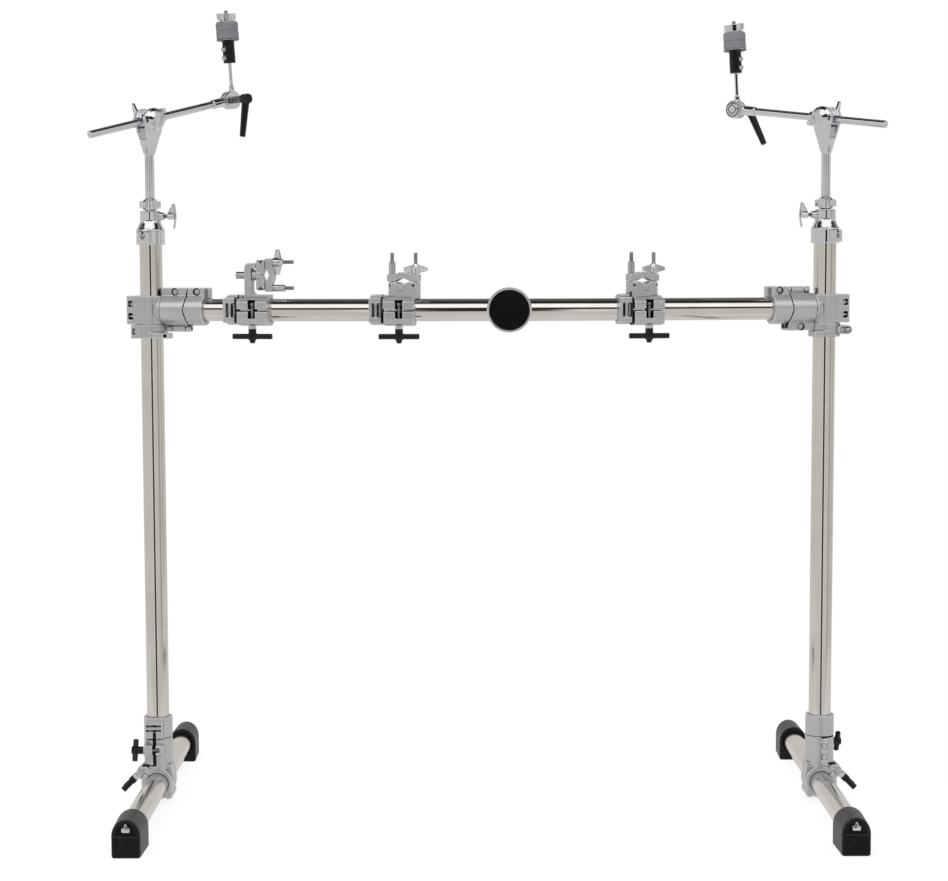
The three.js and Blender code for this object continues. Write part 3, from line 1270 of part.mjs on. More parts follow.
// The jaw and the wing nut on a base, in the frame at the base's top.
function addVJaw(frame, name, wingSide) {
  addPiece(frame, `${name}_v_jaw`, vJaw(-wingSide), SATIN_CAST);
  const nutPlace = at(wingSide * STUD_HALF_SPACING, 0, V_JAW_EAR_HEIGHT + SEAT_GAP);
  addPiece(addGroup(frame, nutPlace), `${name}_wing_nut`, wingNut(), CHROME);
}

// Rack clamps

function clampHinge(start, end, webFoot, webTop) {
  const webFront = CLAMP_BACK - CLAMP_HINGE_RADIUS;
  return joined(
    rod(at(start, CLAMP_HINGE_BACK, 0), at(end, CLAMP_HINGE_BACK, 0), CLAMP_HINGE_RADIUS),
    block(at(start, webFront, webFoot), at(end, CLAMP_HINGE_BACK, webTop)),
  );
}

function clampSlot(foot, top) {
  return block(
    at(-CLAMP_SLOT_HALF, -CLAMP_FRONT - OVERRUN, foot),
    at(CLAMP_SLOT_HALF, CLAMP_SLOT_DEPTH - CLAMP_FRONT, top),
  );
}

// The lock beside the jaws: a ring with a front block that holds an upright key bolt in a window.
function clampLock() {
  const [start, end] = [-CLAMP_LOCK_START, -CLAMP_LOCK_END];
  const ring = rod(at(start, 0, 0), at(end, 0, 0), CLAMP_LOCK_RADIUS, TUBE_SIDES);
  const front = block(
    at(start, CLAMP_CORNER / 2 - CLAMP_FRONT, -CLAMP_LOCK_HALF_HEIGHT),
    at(end, 0, CLAMP_LOCK_HALF_HEIGHT),
  );
  const window = block(
    at(-CLAMP_WINDOW_START, -CLAMP_FRONT - OVERRUN, -CLAMP_WINDOW_HALF_HEIGHT),
    at(-CLAMP_WINDOW_END, CLAMP_WINDOW_DEPTH - CLAMP_FRONT, CLAMP_WINDOW_HALF_HEIGHT),
  );
  const split = block(
    at(start + OVERRUN, -CLAMP_FRONT - OVERRUN, -PARTING_GAP / 2),
    at(end - OVERRUN, 0, PARTING_GAP / 2),
  );
  const [foot, top] = [-1, 1].map((way) => {
    const height = way * (CLAMP_WINDOW_HALF_HEIGHT + PARTING_GAP);
    return at(-CLAMP_KEY_PLACE, -CLAMP_KEY_FRONT, height);
  });
  const ridge = block(
    at(OVERRUN - CLAMP_HALF_WIDTH, -CLAMP_RIDGE_HALF_DEPTH, TUBE_RADIUS),
    at(OVERRUN - CLAMP_LOCK_END, CLAMP_RIDGE_HALF_DEPTH, CLAMP_RIDGE_TOP),
  );
  return joined(cut(joined(ring, front), window, split), rod(foot, top, CLAMP_KEY_RADIUS), ridge);
}

// The fixed upper jaw with its hinge barrels and the bar lock.
function clampBody(group) {
  const [front, back, top] = [-CLAMP_FRONT, CLAMP_BACK, CLAMP_TOP];
  const foot = CLAMP_PARTING;
  const jaw = sidePlate(
    outline([
      [front, foot],
      [back, foot],
      [back, top - 2 * CLAMP_CORNER],
      [back - CLAMP_CORNER, top],
      [front + CLAMP_CORNER, top],
      [front, top - CLAMP_CORNER],
    ]),
    -CLAMP_HALF_WIDTH,
    CLAMP_HALF_WIDTH,
  );
  const crown = rod(at(-CLAMP_HALF_WIDTH, 0, 0), at(CLAMP_HALF_WIDTH, 0, 0), CLAMP_BACK, TUBE_SIDES);
  const upperRoom = block(
    at(-CLAMP_HALF_WIDTH, front, foot),
    at(CLAMP_HALF_WIDTH, CLAMP_HINGE_BACK, CLAMP_RIDGE_TOP),
  );
  const hinges = [-1, 1].map((end) =>
    clampHinge(end * (CLAMP_KNUCKLE_HALF + SEAT_GAP), end * CLAMP_HALF_WIDTH, foot, CLAMP_HINGE_RADIUS),
  );
  const body = joined(jaw, crown.intersect(upperRoom), ...hinges, clampLock());
  return cut(body, clampSlot(0, CLAMP_SLOT_TOP), barBore(group, BAR_GAP));
}

function lowerJaw(group) {
  const [front, back, bottom] = [-CLAMP_FRONT, CLAMP_BACK, -CLAMP_BOTTOM];
  const top = -CLAMP_PARTING;
  const jaw = sidePlate(
    outline([
      [front, top],
      [front, bottom + 2 * CLAMP_CORNER],
      [front + CLAMP_CORNER / 2, bottom + CLAMP_CORNER / 2],
      [-CLAMP_CORNER, bottom],
      [CLAMP_CORNER, bottom],
      [back - CLAMP_CORNER, bottom + CLAMP_CORNER],
      [back, top],
    ]),
    -CLAMP_HALF_WIDTH,
    CLAMP_HALF_WIDTH,
  );
  const knuckle = clampHinge(-CLAMP_KNUCKLE_HALF, CLAMP_KNUCKLE_HALF, top, -CLAMP_HINGE_RADIUS);
  const boltHole = rod(
    at(0, -CLAMP_BOLT_FRONT, bottom - OVERRUN),
    at(0, -CLAMP_BOLT_FRONT, 0),
    CLAMP_BOLT_RADIUS + RUNNING_GAP,
  );
  return cut(joined(jaw, knuckle), clampSlot(-CLAMP_SLOT_BOTTOM, 0), boltHole, barBore(group, BAR_GAP));
}

// The T-bolt: a headed shaft, a moulded hub with a rounded tip and the cross handle.
function clampTBolt() {
  const place = (z) => at(0, -CLAMP_BOLT_FRONT, z);
  const hubTop = PARTING_GAP - CLAMP_BOTTOM;
  const headFoot = CLAMP_BOLT_TOP - CLAMP_BOLT_HEAD_HEIGHT;
  const hubFoot = -HANDLE_DROP - HANDLE_RADIUS;
  return joined(
    rod(place(-HANDLE_DROP), place(CLAMP_BOLT_TOP), CLAMP_BOLT_RADIUS),
    rod(place(headFoot), place(CLAMP_BOLT_TOP), CLAMP_BOLT_HEAD_RADIUS),
    rod(place(hubFoot), place(hubTop), HANDLE_HUB_RADIUS),
    rod(place(hubFoot), place(-HANDLE_TIP_DROP), HANDLE_HUB_RADIUS, SMALL_SIDES, HANDLE_RADIUS),
    rod(
      at(-HANDLE_HALF_SPAN, -CLAMP_BOLT_FRONT, -HANDLE_DROP),
      at(HANDLE_HALF_SPAN, -CLAMP_BOLT_FRONT, -HANDLE_DROP),
      HANDLE_RADIUS,
    ),
  );
}

// The arm of the angled clamp: a foot, an upright and a short hook over the V-clamp's base.
function angledArm() {
  const inner = ARM_THICKNESS - ARM_LEFT;
  const shape = new THREE.Shape();
  shape.moveTo(-ARM_LEFT, TUBE_RADIUS);
  shape.lineTo(ARM_FOOT_END, TUBE_RADIUS);
  shape.lineTo(ARM_FOOT_END, ARM_FOOT_TOP);
  shape.lineTo(inner + ARM_CORNER, ARM_FOOT_TOP);
  shape.quadraticCurveTo(inner, ARM_FOOT_TOP, inner, ARM_FOOT_TOP + ARM_CORNER);
  shape.lineTo(inner, ARM_HOOK_FOOT);
  shape.lineTo(ARM_HOOK_END, ARM_HOOK_FOOT);
  shape.lineTo(ARM_HOOK_END, ARM_TOP);
  shape.lineTo(ARM_CORNER - ARM_LEFT, ARM_TOP);
  shape.quadraticCurveTo(-ARM_LEFT, ARM_TOP, -ARM_LEFT, ARM_TOP - ARM_CORNER);
  const pivotHole = rod(
    at(-ARM_LEFT - OVERRUN, 0, PIVOT_HEIGHT),
    at(inner + OVERRUN, 0, PIVOT_HEIGHT),
    PIVOT_RADIUS + RUNNING_GAP,
  );
  return cut(frontPlate(shape, -ARM_HALF_DEPTH, ARM_HALF_DEPTH), pivotHole);
}

// The pivot bolt and boss of the angled V-clamp, below the frame at its base's top.
function anglePivot() {
  const bottom = -ANGLED_BASE_HEIGHT;
  const depth = (x) => bottom + x - ANGLED_BASE_START;
  const bossEnd = depth(ARM_THICKNESS - ARM_LEFT + SEAT_GAP);
  const headStart = depth(-ARM_LEFT - SEAT_GAP);
  return joined(
    rod(at(0, 0, bossEnd), at(0, 0, bottom + OVERRUN), PIVOT_BOSS_RADIUS),
    rod(at(0, 0, headStart - OVERRUN), at(0, 0, bottom), PIVOT_RADIUS),
    rod(at(0, 0, headStart), at(0, 0, headStart - PIVOT_HEAD_LENGTH), PIVOT_HEAD_RADIUS),
  );
}

// One rack clamp, with its V-clamp upright or on its side.
function addRackClamp(clamp, number) {
  const name = `rack_clamp_${number}`;
  const group = addBarGroup(clamp.place);
  const baseTop = CLAMP_TOP - PARTING_GAP + V_BASE_HEIGHT;
  if (clamp.angled) {
    const body = joined(clampBody(group), cut(angledArm(), barBore(group, BAR_GAP)));
    addPiece(group, `${name}_body`, body, SATIN_CAST);
    const frame = addGroup(group, at(ANGLED_BASE_START + ANGLED_BASE_HEIGHT, 0, PIVOT_HEIGHT), 0, 90);
    addPiece(frame, `${name}_v_base`, joined(vBase(ANGLED_BASE_HEIGHT), anglePivot()), SATIN_CAST);
    addVJaw(frame, name, -1);
  } else {
    const frame = addGroup(group, at(clamp.shift, 0, baseTop), 0, 0, clamp.turn);
    const base = placed(vBase(V_BASE_HEIGHT), frame);
    addPiece(group, `${name}_body`, joined(clampBody(group), base), SATIN_CAST);
    addVJaw(frame, name, 1);
  }
  const hinge = at(0, CLAMP_HINGE_BACK, 0);
  const bolt = at(0, -CLAMP_BOLT_FRONT, -HANDLE_DROP);
  addPiece(group, `${name}_lower_jaw`, lowerJaw(group), SATIN_CAST, hinge);
  addPiece(group, `${name}_t_bolt`, clampTBolt(), BLACK_PLASTIC, bolt);
}

// A solid of a group, in the frame of the group's parent.
function placed(solid, group) {
  const geometry = geometryOf(solid);
  group.updateMatrix();
  geometry.applyMatrix4(group.matrix);
  return solidOf(geometry);
}

// Collars and booms

// A collar on the upright's top, in a frame whose X points at its wing screw.
function collar(bossTurn) {
  const outside = turned(
    [
      [0, COLLAR_FOOT],
      [COLLAR_RADIUS, COLLAR_FOOT],
      [COLLAR_RADIUS, COLLAR_SHOULDER],
      [COLLAR_NECK_RADIUS, COLLAR_NECK_FOOT],
      [COLLAR_NECK_RADIUS, COLLAR_TOP],
      [0, COLLAR_TOP],
    ],
    ORIGIN,
    ALONG_Z,
    TUBE_SIDES,
  );
  const lug = rod(
    at(0, 0, MAST_SCREW_HEIGHT),
    at(MAST_SCREW_LUG_END, 0, MAST_SCREW_HEIGHT),
    MAST_SCREW_LUG_RADIUS,
  );
  const bores = [
    uprightBore(COLLAR_FOOT - OVERRUN, UPRIGHT_TOP + SEAT_GAP),
    rod(at(0, 0, COLLAR_FOOT), at(0, 0, COLLAR_TOP + OVERRUN), MAST_RADIUS + RUNNING_GAP, TUBE_SIDES),
    rod(
      at(MAST_SCREW_START - PARTING_GAP, 0, MAST_SCREW_HEIGHT),
      at(MAST_SCREW_LUG_END + OVERRUN, 0, MAST_SCREW_HEIGHT),
      MAST_SCREW_RADIUS + RUNNING_GAP,
    ),
  ];
  return cut(joined(outside, lug, collarBoss(bossTurn)), ...bores);
}

// The boss on the collar's skirt with its screw head and a small hole above it.
function collarBoss(bossTurn) {
  const [foot, top] = [COLLAR_FOOT + COLLAR_BOSS_MARGIN, COLLAR_SHOULDER - COLLAR_BOSS_MARGIN];
  const front = -COLLAR_BOSS_FRONT;
  const body = block(at(-COLLAR_BOSS_HALF_WIDTH, front, foot), at(COLLAR_BOSS_HALF_WIDTH, 0, top));
  const hole = rod(
    at(0, front - OVERRUN, top - COLLAR_HOLE_DROP),
    at(0, front + OVERRUN, top - COLLAR_HOLE_DROP),
    COLLAR_HOLE_RADIUS,
  );
  const screw = rod(
    at(0, front + OVERRUN, top - COLLAR_SCREW_DROP),
    at(0, front - PARTING_GAP, top - COLLAR_SCREW_DROP),
    COLLAR_SCREW_RADIUS,
  );
  const geometry = geometryOf(joined(cut(body, hole), screw));
  geometry.rotateZ(radians(bossTurn) + Math.PI / 2);
  return solidOf(geometry);
}

// The wing screw that holds the mast, along X.
function collarWing() {
  const place = (x) => at(x, 0, MAST_SCREW_HEIGHT);
  const middle = (MAST_SCREW_HUB_START + MAST_SCREW_HUB_END) / 2;
  const wings = vPrism(
    [
      [MAST_SCREW_HUB_START, -MAST_SCREW_HUB_RADIUS],
      [MAST_SCREW_HUB_END, -MAST_SCREW_HUB_RADIUS],
      [middle + MAST_SCREW_RADIUS, -MAST_SCREW_WING_HALF_SPAN],
      [middle + 2 * MAST_SCREW_RADIUS, -MAST_SCREW_WING_HALF_SPAN],
      [MAST_SCREW_HUB_END + MAST_SCREW_RADIUS, 0],
      [middle + 2 * MAST_SCREW_RADIUS, MAST_SCREW_WING_HALF_SPAN],
      [middle + MAST_SCREW_RADIUS, MAST_SCREW_WING_HALF_SPAN],
      [MAST_SCREW_HUB_START, MAST_SCREW_HUB_RADIUS],
    ],
    WING_HALF_THICKNESS,
  );
  const geometry = geometryOf(wings);
  geometry.translate(0, 0, MAST_SCREW_HEIGHT);
  return joined(
    solidOf(geometry),
    rod(place(MAST_SCREW_START), place(MAST_SCREW_HUB_START + OVERRUN), MAST_SCREW_RADIUS),
    rod(place(MAST_SCREW_HUB_START), place(MAST_SCREW_HUB_END), MAST_SCREW_HUB_RADIUS),
  );
}

// The mast: its tube, its lock ring with two lugs and the fork, whose cheeks face along Y.
function mast() {
  const lockTop = MAST_LOCK_FOOT + MAST_LOCK_HEIGHT;
  const [lockLow, lockHigh] = [MAST_LOCK_FOOT, lockTop].map((z) => at(0, 0, z));
  const lock = rod(lockLow, lockHigh, MAST_LOCK_RADIUS, TUBE_SIDES);
  const lugs = block(
    at(-MAST_LOCK_HALF_WIDTH, -MAST_LOCK_HALF_DEPTH, MAST_LOCK_FOOT + OVERRUN),
    at(MAST_LOCK_HALF_WIDTH, MAST_LOCK_HALF_DEPTH, lockTop - OVERRUN),
  );
  const shoulder = PIVOT_LEVEL - FORK_SHOULDER_DROP;
  const cheeks = frontPlate(
    outline([
      [-FORK_FOOT_HALF_WIDTH, FORK_FOOT],
      [FORK_FOOT_HALF_WIDTH, FORK_FOOT],
      [FORK_HALF_WIDTH, shoulder],
      [FORK_HALF_WIDTH, PIVOT_LEVEL],
      [-FORK_HALF_WIDTH, PIVOT_LEVEL],
      [-FORK_HALF_WIDTH, shoulder],
    ]),
    -FORK_HALF_DEPTH,
    FORK_HALF_DEPTH,
  );
  const [front, back] = [-FORK_HALF_DEPTH, FORK_HALF_DEPTH].map((y) => at(0, y, PIVOT_LEVEL));
  const crown = rod(front, back, FORK_HALF_WIDTH, TUBE_SIDES);
  const slot = block(
    at(-FORK_HALF_DEPTH - OVERRUN, -FORK_SLOT_HALF, PIVOT_LEVEL - FORK_SLOT_DROP),
    at(FORK_HALF_DEPTH + OVERRUN, FORK_SLOT_HALF, PIVOT_LEVEL + FORK_SLOT_DROP),
  );
  const pinHole = rod(
    at(0, -FORK_HALF_DEPTH - OVERRUN, PIVOT_LEVEL),
    at(0, FORK_HALF_DEPTH + OVERRUN, PIVOT_LEVEL),
    KNUCKLE_PIN_RADIUS + RUNNING_GAP,
  );
  const shaft = tube(at(0, 0, MAST_FOOT), at(0, 0, FORK_FOOT + OVERRUN), MAST_RADIUS, MAST_WALL);
  const collarRing = cut(joined(lock, lugs), rod(lockLow, lockHigh, MAST_RADIUS, TUBE_SIDES));
  return joined(shaft, collarRing, cut(joined(cheeks, crown), slot, pinHole));
}

// The tilter knuckle round its pivot: a barrel, its pin, two domes, the rod's sleeve and a wing nut.
function knuckle() {
  const domeFoot = FORK_HALF_DEPTH + RUNNING_GAP;
  const domes = [-1, 1].map((way) =>
    turned(
      [
        [0, 0],
        [KNUCKLE_DOME_RADIUS, 0],
        [KNUCKLE_DOME_RADIUS, KNUCKLE_DOME_HEIGHT / 4],
        [(3 * KNUCKLE_DOME_RADIUS) / 4, (3 * KNUCKLE_DOME_HEIGHT) / 4],
        [KNUCKLE_DOME_RADIUS / 3, KNUCKLE_DOME_HEIGHT],
        [0, KNUCKLE_DOME_HEIGHT],
      ],
      at(0, way * domeFoot, 0),
      at(0, way, 0),
      TUBE_SIDES,
    ),
  );
  const domeTop = domeFoot + KNUCKLE_DOME_HEIGHT;
  const wing = sidePlate(
    outline([
      [domeTop, -KNUCKLE_WING_HUB_RADIUS],
      [KNUCKLE_WING_END - OVERRUN, -KNUCKLE_WING_HALF_SPAN],
      [KNUCKLE_WING_END, -KNUCKLE_WING_HALF_SPAN],
      [KNUCKLE_WING_END, KNUCKLE_WING_HALF_SPAN],
      [KNUCKLE_WING_END - OVERRUN, KNUCKLE_WING_HALF_SPAN],
      [domeTop, KNUCKLE_WING_HUB_RADIUS],
    ]),
    -WING_HALF_THICKNESS,
    WING_HALF_THICKNESS,
  );
  const eye = rod(
    at(KNUCKLE_EYE_PLACE, -KNUCKLE_EYE_REACH, KNUCKLE_EYE_RISE),
    at(KNUCKLE_EYE_PLACE, 0, KNUCKLE_EYE_RISE),
    KNUCKLE_EYE_RADIUS,
  );
  const barrel = rod(at(0, -KNUCKLE_HALF, 0), at(0, KNUCKLE_HALF, 0), KNUCKLE_RADIUS, TUBE_SIDES);
  const pin = rod(at(0, -domeTop + OVERRUN, 0), at(0, domeTop, 0), KNUCKLE_PIN_RADIUS);
  const hub = rod(at(0, domeTop - OVERRUN, 0), at(0, KNUCKLE_WING_END, 0), KNUCKLE_WING_HUB_RADIUS);
  const sleeve = rod(ORIGIN, at(KNUCKLE_SLEEVE_END, 0, 0), KNUCKLE_SLEEVE_RADIUS);
  const rodHole = rod(
    at(-2 * KNUCKLE_RADIUS, 0, 0),
    at(2 * KNUCKLE_SLEEVE_END, 0, 0),
    ROD_RADIUS + RUNNING_GAP,
  );
  return cut(joined(barrel, pin, ...domes, hub, wing, sleeve, eye), rodHole);
}

// The boom rod along X from its outer end, with the ribbed half of the hub and its end cap.
function boomRod(start, hubPlace) {
  const [inner, outer] = [HUB_HALF_GAP, HUB_HALF_GAP + HUB_THICKNESS];
  const collarFrom = hubPlace - HUB_COLLAR_START;
  const collarTo = hubPlace - HUB_COLLAR_END;
  const disc = rod(at(hubPlace, inner, 0), at(hubPlace, outer, 0), HUB_RADIUS, TUBE_SIDES);
  const cap = rod(at(hubPlace, outer, 0), at(hubPlace, outer + HUB_CAP_HEIGHT, 0), HUB_CAP_RADIUS);
  const neck = block(
    at(hubPlace - HUB_NECK_REACH, inner, -HUB_NECK_HALF_HEIGHT),
    at(hubPlace, HUB_COLLAR_RADIUS, HUB_NECK_HALF_HEIGHT),
  );
  const shaftHole = rod(
    at(hubPlace, -HUB_RADIUS, 0),
    at(hubPlace, outer - PARTING_GAP, 0),
    LEVER_SHAFT_RADIUS + RUNNING_GAP,
  );
  const shaft = rod(at(start, 0, 0), at(collarTo, 0, 0), ROD_RADIUS);
  const collarEnd = rod(at(collarFrom, 0, 0), at(collarTo, 0, 0), HUB_COLLAR_RADIUS);
  return cut(joined(shaft, collarEnd, neck, disc, cap), shaftHole);
}

// The clamping lever round the hub's axis, which is Y: a shaft, a boss, a head and the handle.
function lever() {
  const bossStart = -HUB_HALF_GAP - HUB_THICKNESS - SEAT_GAP;
  const headFront = -LEVER_HEAD_PLACE - LEVER_HEAD_HALF;
  const headBack = LEVER_HEAD_HALF - LEVER_HEAD_PLACE;
  const handleStart = at(0, -LEVER_HEAD_PLACE, 0);
  const handleEnd = at(0, -LEVER_HEAD_PLACE, -LEVER_HANDLE_LENGTH);
  return joined(
    rod(at(0, bossStart - OVERRUN, 0), at(0, HUB_THICKNESS - 2 * PARTING_GAP, 0), LEVER_SHAFT_RADIUS),
    rod(at(0, bossStart, 0), at(0, -LEVER_HEAD_PLACE, 0), LEVER_BOSS_RADIUS),
    rod(at(0, headFront, 0), at(0, headBack, 0), LEVER_HEAD_RADIUS),
    rod(handleStart, handleEnd, LEVER_HANDLE_RADIUS, SMALL_SIDES, LEVER_TIP_RADIUS),
  );
}

// The middle of the seat's half of the hub, across the hub's axis.
const SEAT_BACK = -HUB_HALF_GAP - HUB_THICKNESS / 2;

// The seat post: the seat's half of the hub, a boss, the spindle, the black sleeve and the cup.
function seatPost() {
  const disc = rod(
    at(0, -HUB_HALF_GAP - HUB_THICKNESS, 0),
    at(0, -HUB_HALF_GAP, 0),
    HUB_RADIUS,
    TUBE_SIDES,
  );
  const shaftHole = rod(at(0, -HUB_RADIUS, 0), at(0, HUB_RADIUS, 0), LEVER_SHAFT_RADIUS + RUNNING_GAP);
  const up = (z) => at(0, SEAT_BACK, z);
  const boss = rod(up(HUB_RADIUS / 2), up(SEAT_BOSS_TOP), SEAT_BOSS_RADIUS);
  const spindle = rod(up(SEAT_BOSS_TOP - OVERRUN), up(SEAT_SPINDLE_TOP), SEAT_POST_RADIUS);
  const sleeve = rod(up(SEAT_SLEEVE_FOOT), up(SEAT_CUP_FOOT + PARTING_GAP), SEAT_SLEEVE_RADIUS);
  const cup = rod(
    up(SEAT_CUP_FOOT),
    up(SEAT_CUP_FOOT + SEAT_CUP_THICKNESS),
    SEAT_CUP_RADIUS - SEAT_CUP_THICKNESS,
    TUBE_SIDES,
    SEAT_CUP_RADIUS,
  );
  const screws = SEAT_SCREW_HEIGHTS.map((z) =>
    rod(up(z), at(-SEAT_SCREW_REACH, SEAT_BACK, z), SEAT_SCREW_RADIUS),
  );
  return joined(cut(joined(disc, boss), shaftHole), spindle, sleeve, cup, ...screws);
}

// The pair of felts on the spindle, with the groove where they meet.
const FELT_FOOT = SEAT_CUP_FOOT + SEAT_CUP_THICKNESS + SEAT_GAP;
const FELT_TOP = FELT_FOOT + 2 * FELT_HEIGHT;

function felts() {
  const middle = FELT_FOOT + FELT_HEIGHT;
  const bore = SEAT_POST_RADIUS + RUNNING_GAP;
  return turned(
    [
      [bore, FELT_FOOT],
      [FELT_RADIUS, FELT_FOOT],
      [FELT_RADIUS, middle - FELT_GROOVE_HEIGHT],
      [FELT_RADIUS - FELT_GROOVE_DEPTH, middle],
      [FELT_RADIUS, middle + FELT_GROOVE_HEIGHT],
      [FELT_RADIUS, FELT_TOP],
      [bore, FELT_TOP],
      [bore, FELT_FOOT],
    ],
    at(0, SEAT_BACK, 0),
    ALONG_Z,
    TUBE_SIDES,
  );
}

// The top wing nut with its washer.
function topNut() {
  const foot = FELT_TOP + SEAT_GAP;
  const up = (z) => at(0, SEAT_BACK, z);
  const hubFoot = foot + TOP_WASHER_THICKNESS;
  const top = foot + TOP_NUT_HEIGHT;
  const washer = rod(up(foot), up(hubFoot), TOP_WASHER_RADIUS, TUBE_SIDES);
  const hub = rod(up(foot), up(top), TOP_NUT_RADIUS);
  const wings = frontPlate(
    outline([
      [-TOP_NUT_RADIUS, hubFoot],
      [TOP_NUT_RADIUS, hubFoot],
      [TOP_NUT_HALF_SPAN, hubFoot + TOP_NUT_HALF_THICKNESS],
      [TOP_NUT_HALF_SPAN, top],
      [TOP_NUT_RADIUS, top],
      [-TOP_NUT_RADIUS, top],
      [-TOP_NUT_HALF_SPAN, top],
      [-TOP_NUT_HALF_SPAN, hubFoot + TOP_NUT_HALF_THICKNESS],
    ]),
    SEAT_BACK - TOP_NUT_HALF_THICKNESS,
    SEAT_BACK + TOP_NUT_HALF_THICKNESS,
  );
  const bore = rod(up(foot - OVERRUN), up(SEAT_SPINDLE_TOP + OVERRUN), SEAT_POST_RADIUS + RUNNING_GAP);
  return cut(joined(washer, hub, wings), bore);
}

// One collar, mast and boom.
function addBoom(side) {
  const upright = at(side.place * HALF_SPACING, 0, 0);
  const top = addGroup(rack, upright, 0, 0, side.screw);
  const screwPlace = at(MAST_SCREW_HUB_START, 0, MAST_SCREW_HEIGHT);
  addPiece(top, `${side.name}_top_collar`, collar(side.boss), CHROME, at(0, 0, COLLAR_FOOT));
  addPiece(top, `${side.name}_collar_wing_screw`, collarWing(), CHROME, screwPlace);
  const swung = addGroup(rack, upright, 0, 0, side.swing);
  addPiece(swung, `${side.name}_mast`, mast(), CHROME, at(0, 0, MAST_FOOT));
  const pivot = addGroup(swung, at(0, 0, PIVOT_LEVEL), 0, -side.rise);
  addPiece(addGroup(pivot, ORIGIN, side.roll), `${side.name}_tilter`, knuckle(), CHROME);
  const overhang = BOOM_OVERHANG / Math.abs(Math.cos(radians(side.swing)));
  const start = -overhang / Math.cos(radians(side.rise));
  const hubPlace = start + ROD_LENGTH;
  addPiece(pivot, `${side.name}_boom_rod`, boomRod(start, hubPlace), CHROME, at(hubPlace, 0, 0));
  const hubTurn = at(hubPlace * Math.cos(radians(side.rise)), 0, hubPlace * Math.sin(radians(side.rise)));
  const hub = addGroup(swung, hubTurn.addScaledVector(ALONG_Z, PIVOT_LEVEL));
  addPiece(addGroup(hub, ORIGIN, 0, side.lever), `${side.name}_lever`, lever(), BLACK_PLASTIC);
  const seat = addGroup(hub, ORIGIN, 0, side.lean);
  addPiece(seat, `${side.name}_seat_post`, seatPost(), CHROME);
  addPiece(seat, `${side.name}_felts`, felts(), FELT);
  addPiece(seat, `${side.name}_top_wing_nut`, topNut(), CHROME, at(0, SEAT_BACK, FELT_TOP));
}

for (const side of [LEFT, RIGHT]) {
  addFoot(side);
  addLeg(side);
  addCrossing(side);
  addBoom(side);
}
addBar();
addBadge();
RACK_CLAMPS.forEach((clamp, i) => addRackClamp(clamp, i + 1));

export default rack;
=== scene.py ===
"""Studio scene of a drum rack frame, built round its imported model.

The model's facets are refined into smooth castings, turned parts and moulded handles. Tubes, boots,
felts and the badge are made anew. Sizes are in millimetres, in the model's own frame.
"""

import logging
import math
from dataclasses import dataclass, replace
from enum import Enum
from typing import Callable, Sequence

import bpy
import numpy as np
from mathutils import Matrix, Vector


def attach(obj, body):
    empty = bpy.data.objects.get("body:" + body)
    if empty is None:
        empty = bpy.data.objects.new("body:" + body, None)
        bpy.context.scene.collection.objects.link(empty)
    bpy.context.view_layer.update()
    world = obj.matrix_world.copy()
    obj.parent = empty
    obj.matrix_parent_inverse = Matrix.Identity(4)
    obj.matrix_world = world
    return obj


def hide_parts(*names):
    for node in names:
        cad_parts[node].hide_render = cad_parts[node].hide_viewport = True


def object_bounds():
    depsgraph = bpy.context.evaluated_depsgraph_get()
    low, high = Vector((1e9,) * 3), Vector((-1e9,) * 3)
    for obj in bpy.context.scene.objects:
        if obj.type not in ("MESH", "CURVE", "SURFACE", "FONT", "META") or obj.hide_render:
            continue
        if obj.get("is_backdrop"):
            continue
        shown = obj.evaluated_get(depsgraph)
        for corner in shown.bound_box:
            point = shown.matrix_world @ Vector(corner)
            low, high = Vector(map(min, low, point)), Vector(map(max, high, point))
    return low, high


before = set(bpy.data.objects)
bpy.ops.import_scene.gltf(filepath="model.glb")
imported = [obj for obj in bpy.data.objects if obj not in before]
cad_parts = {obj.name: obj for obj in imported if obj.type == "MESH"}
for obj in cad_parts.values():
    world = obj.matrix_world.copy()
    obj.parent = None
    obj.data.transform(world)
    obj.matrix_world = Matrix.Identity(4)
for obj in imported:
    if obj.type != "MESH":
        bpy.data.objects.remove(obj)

logging.basicConfig(level=logging.INFO, format="%(levelname)s %(message)s")
LOG = logging.getLogger("drum_rack")

Point = tuple[float, float, float]
Colour = tuple[float, float, float, float]

MM = 0.001
TINY = 1e-6
DIAGONAL = math.sqrt(0.5)
UP: Point = (0.0, 0.0, 1.0)
ACROSS: Point = (1.0, 0.0, 0.0)
GRIP_SWELL = 1.3
CLAMP_BOLT_FRONT = 30.0


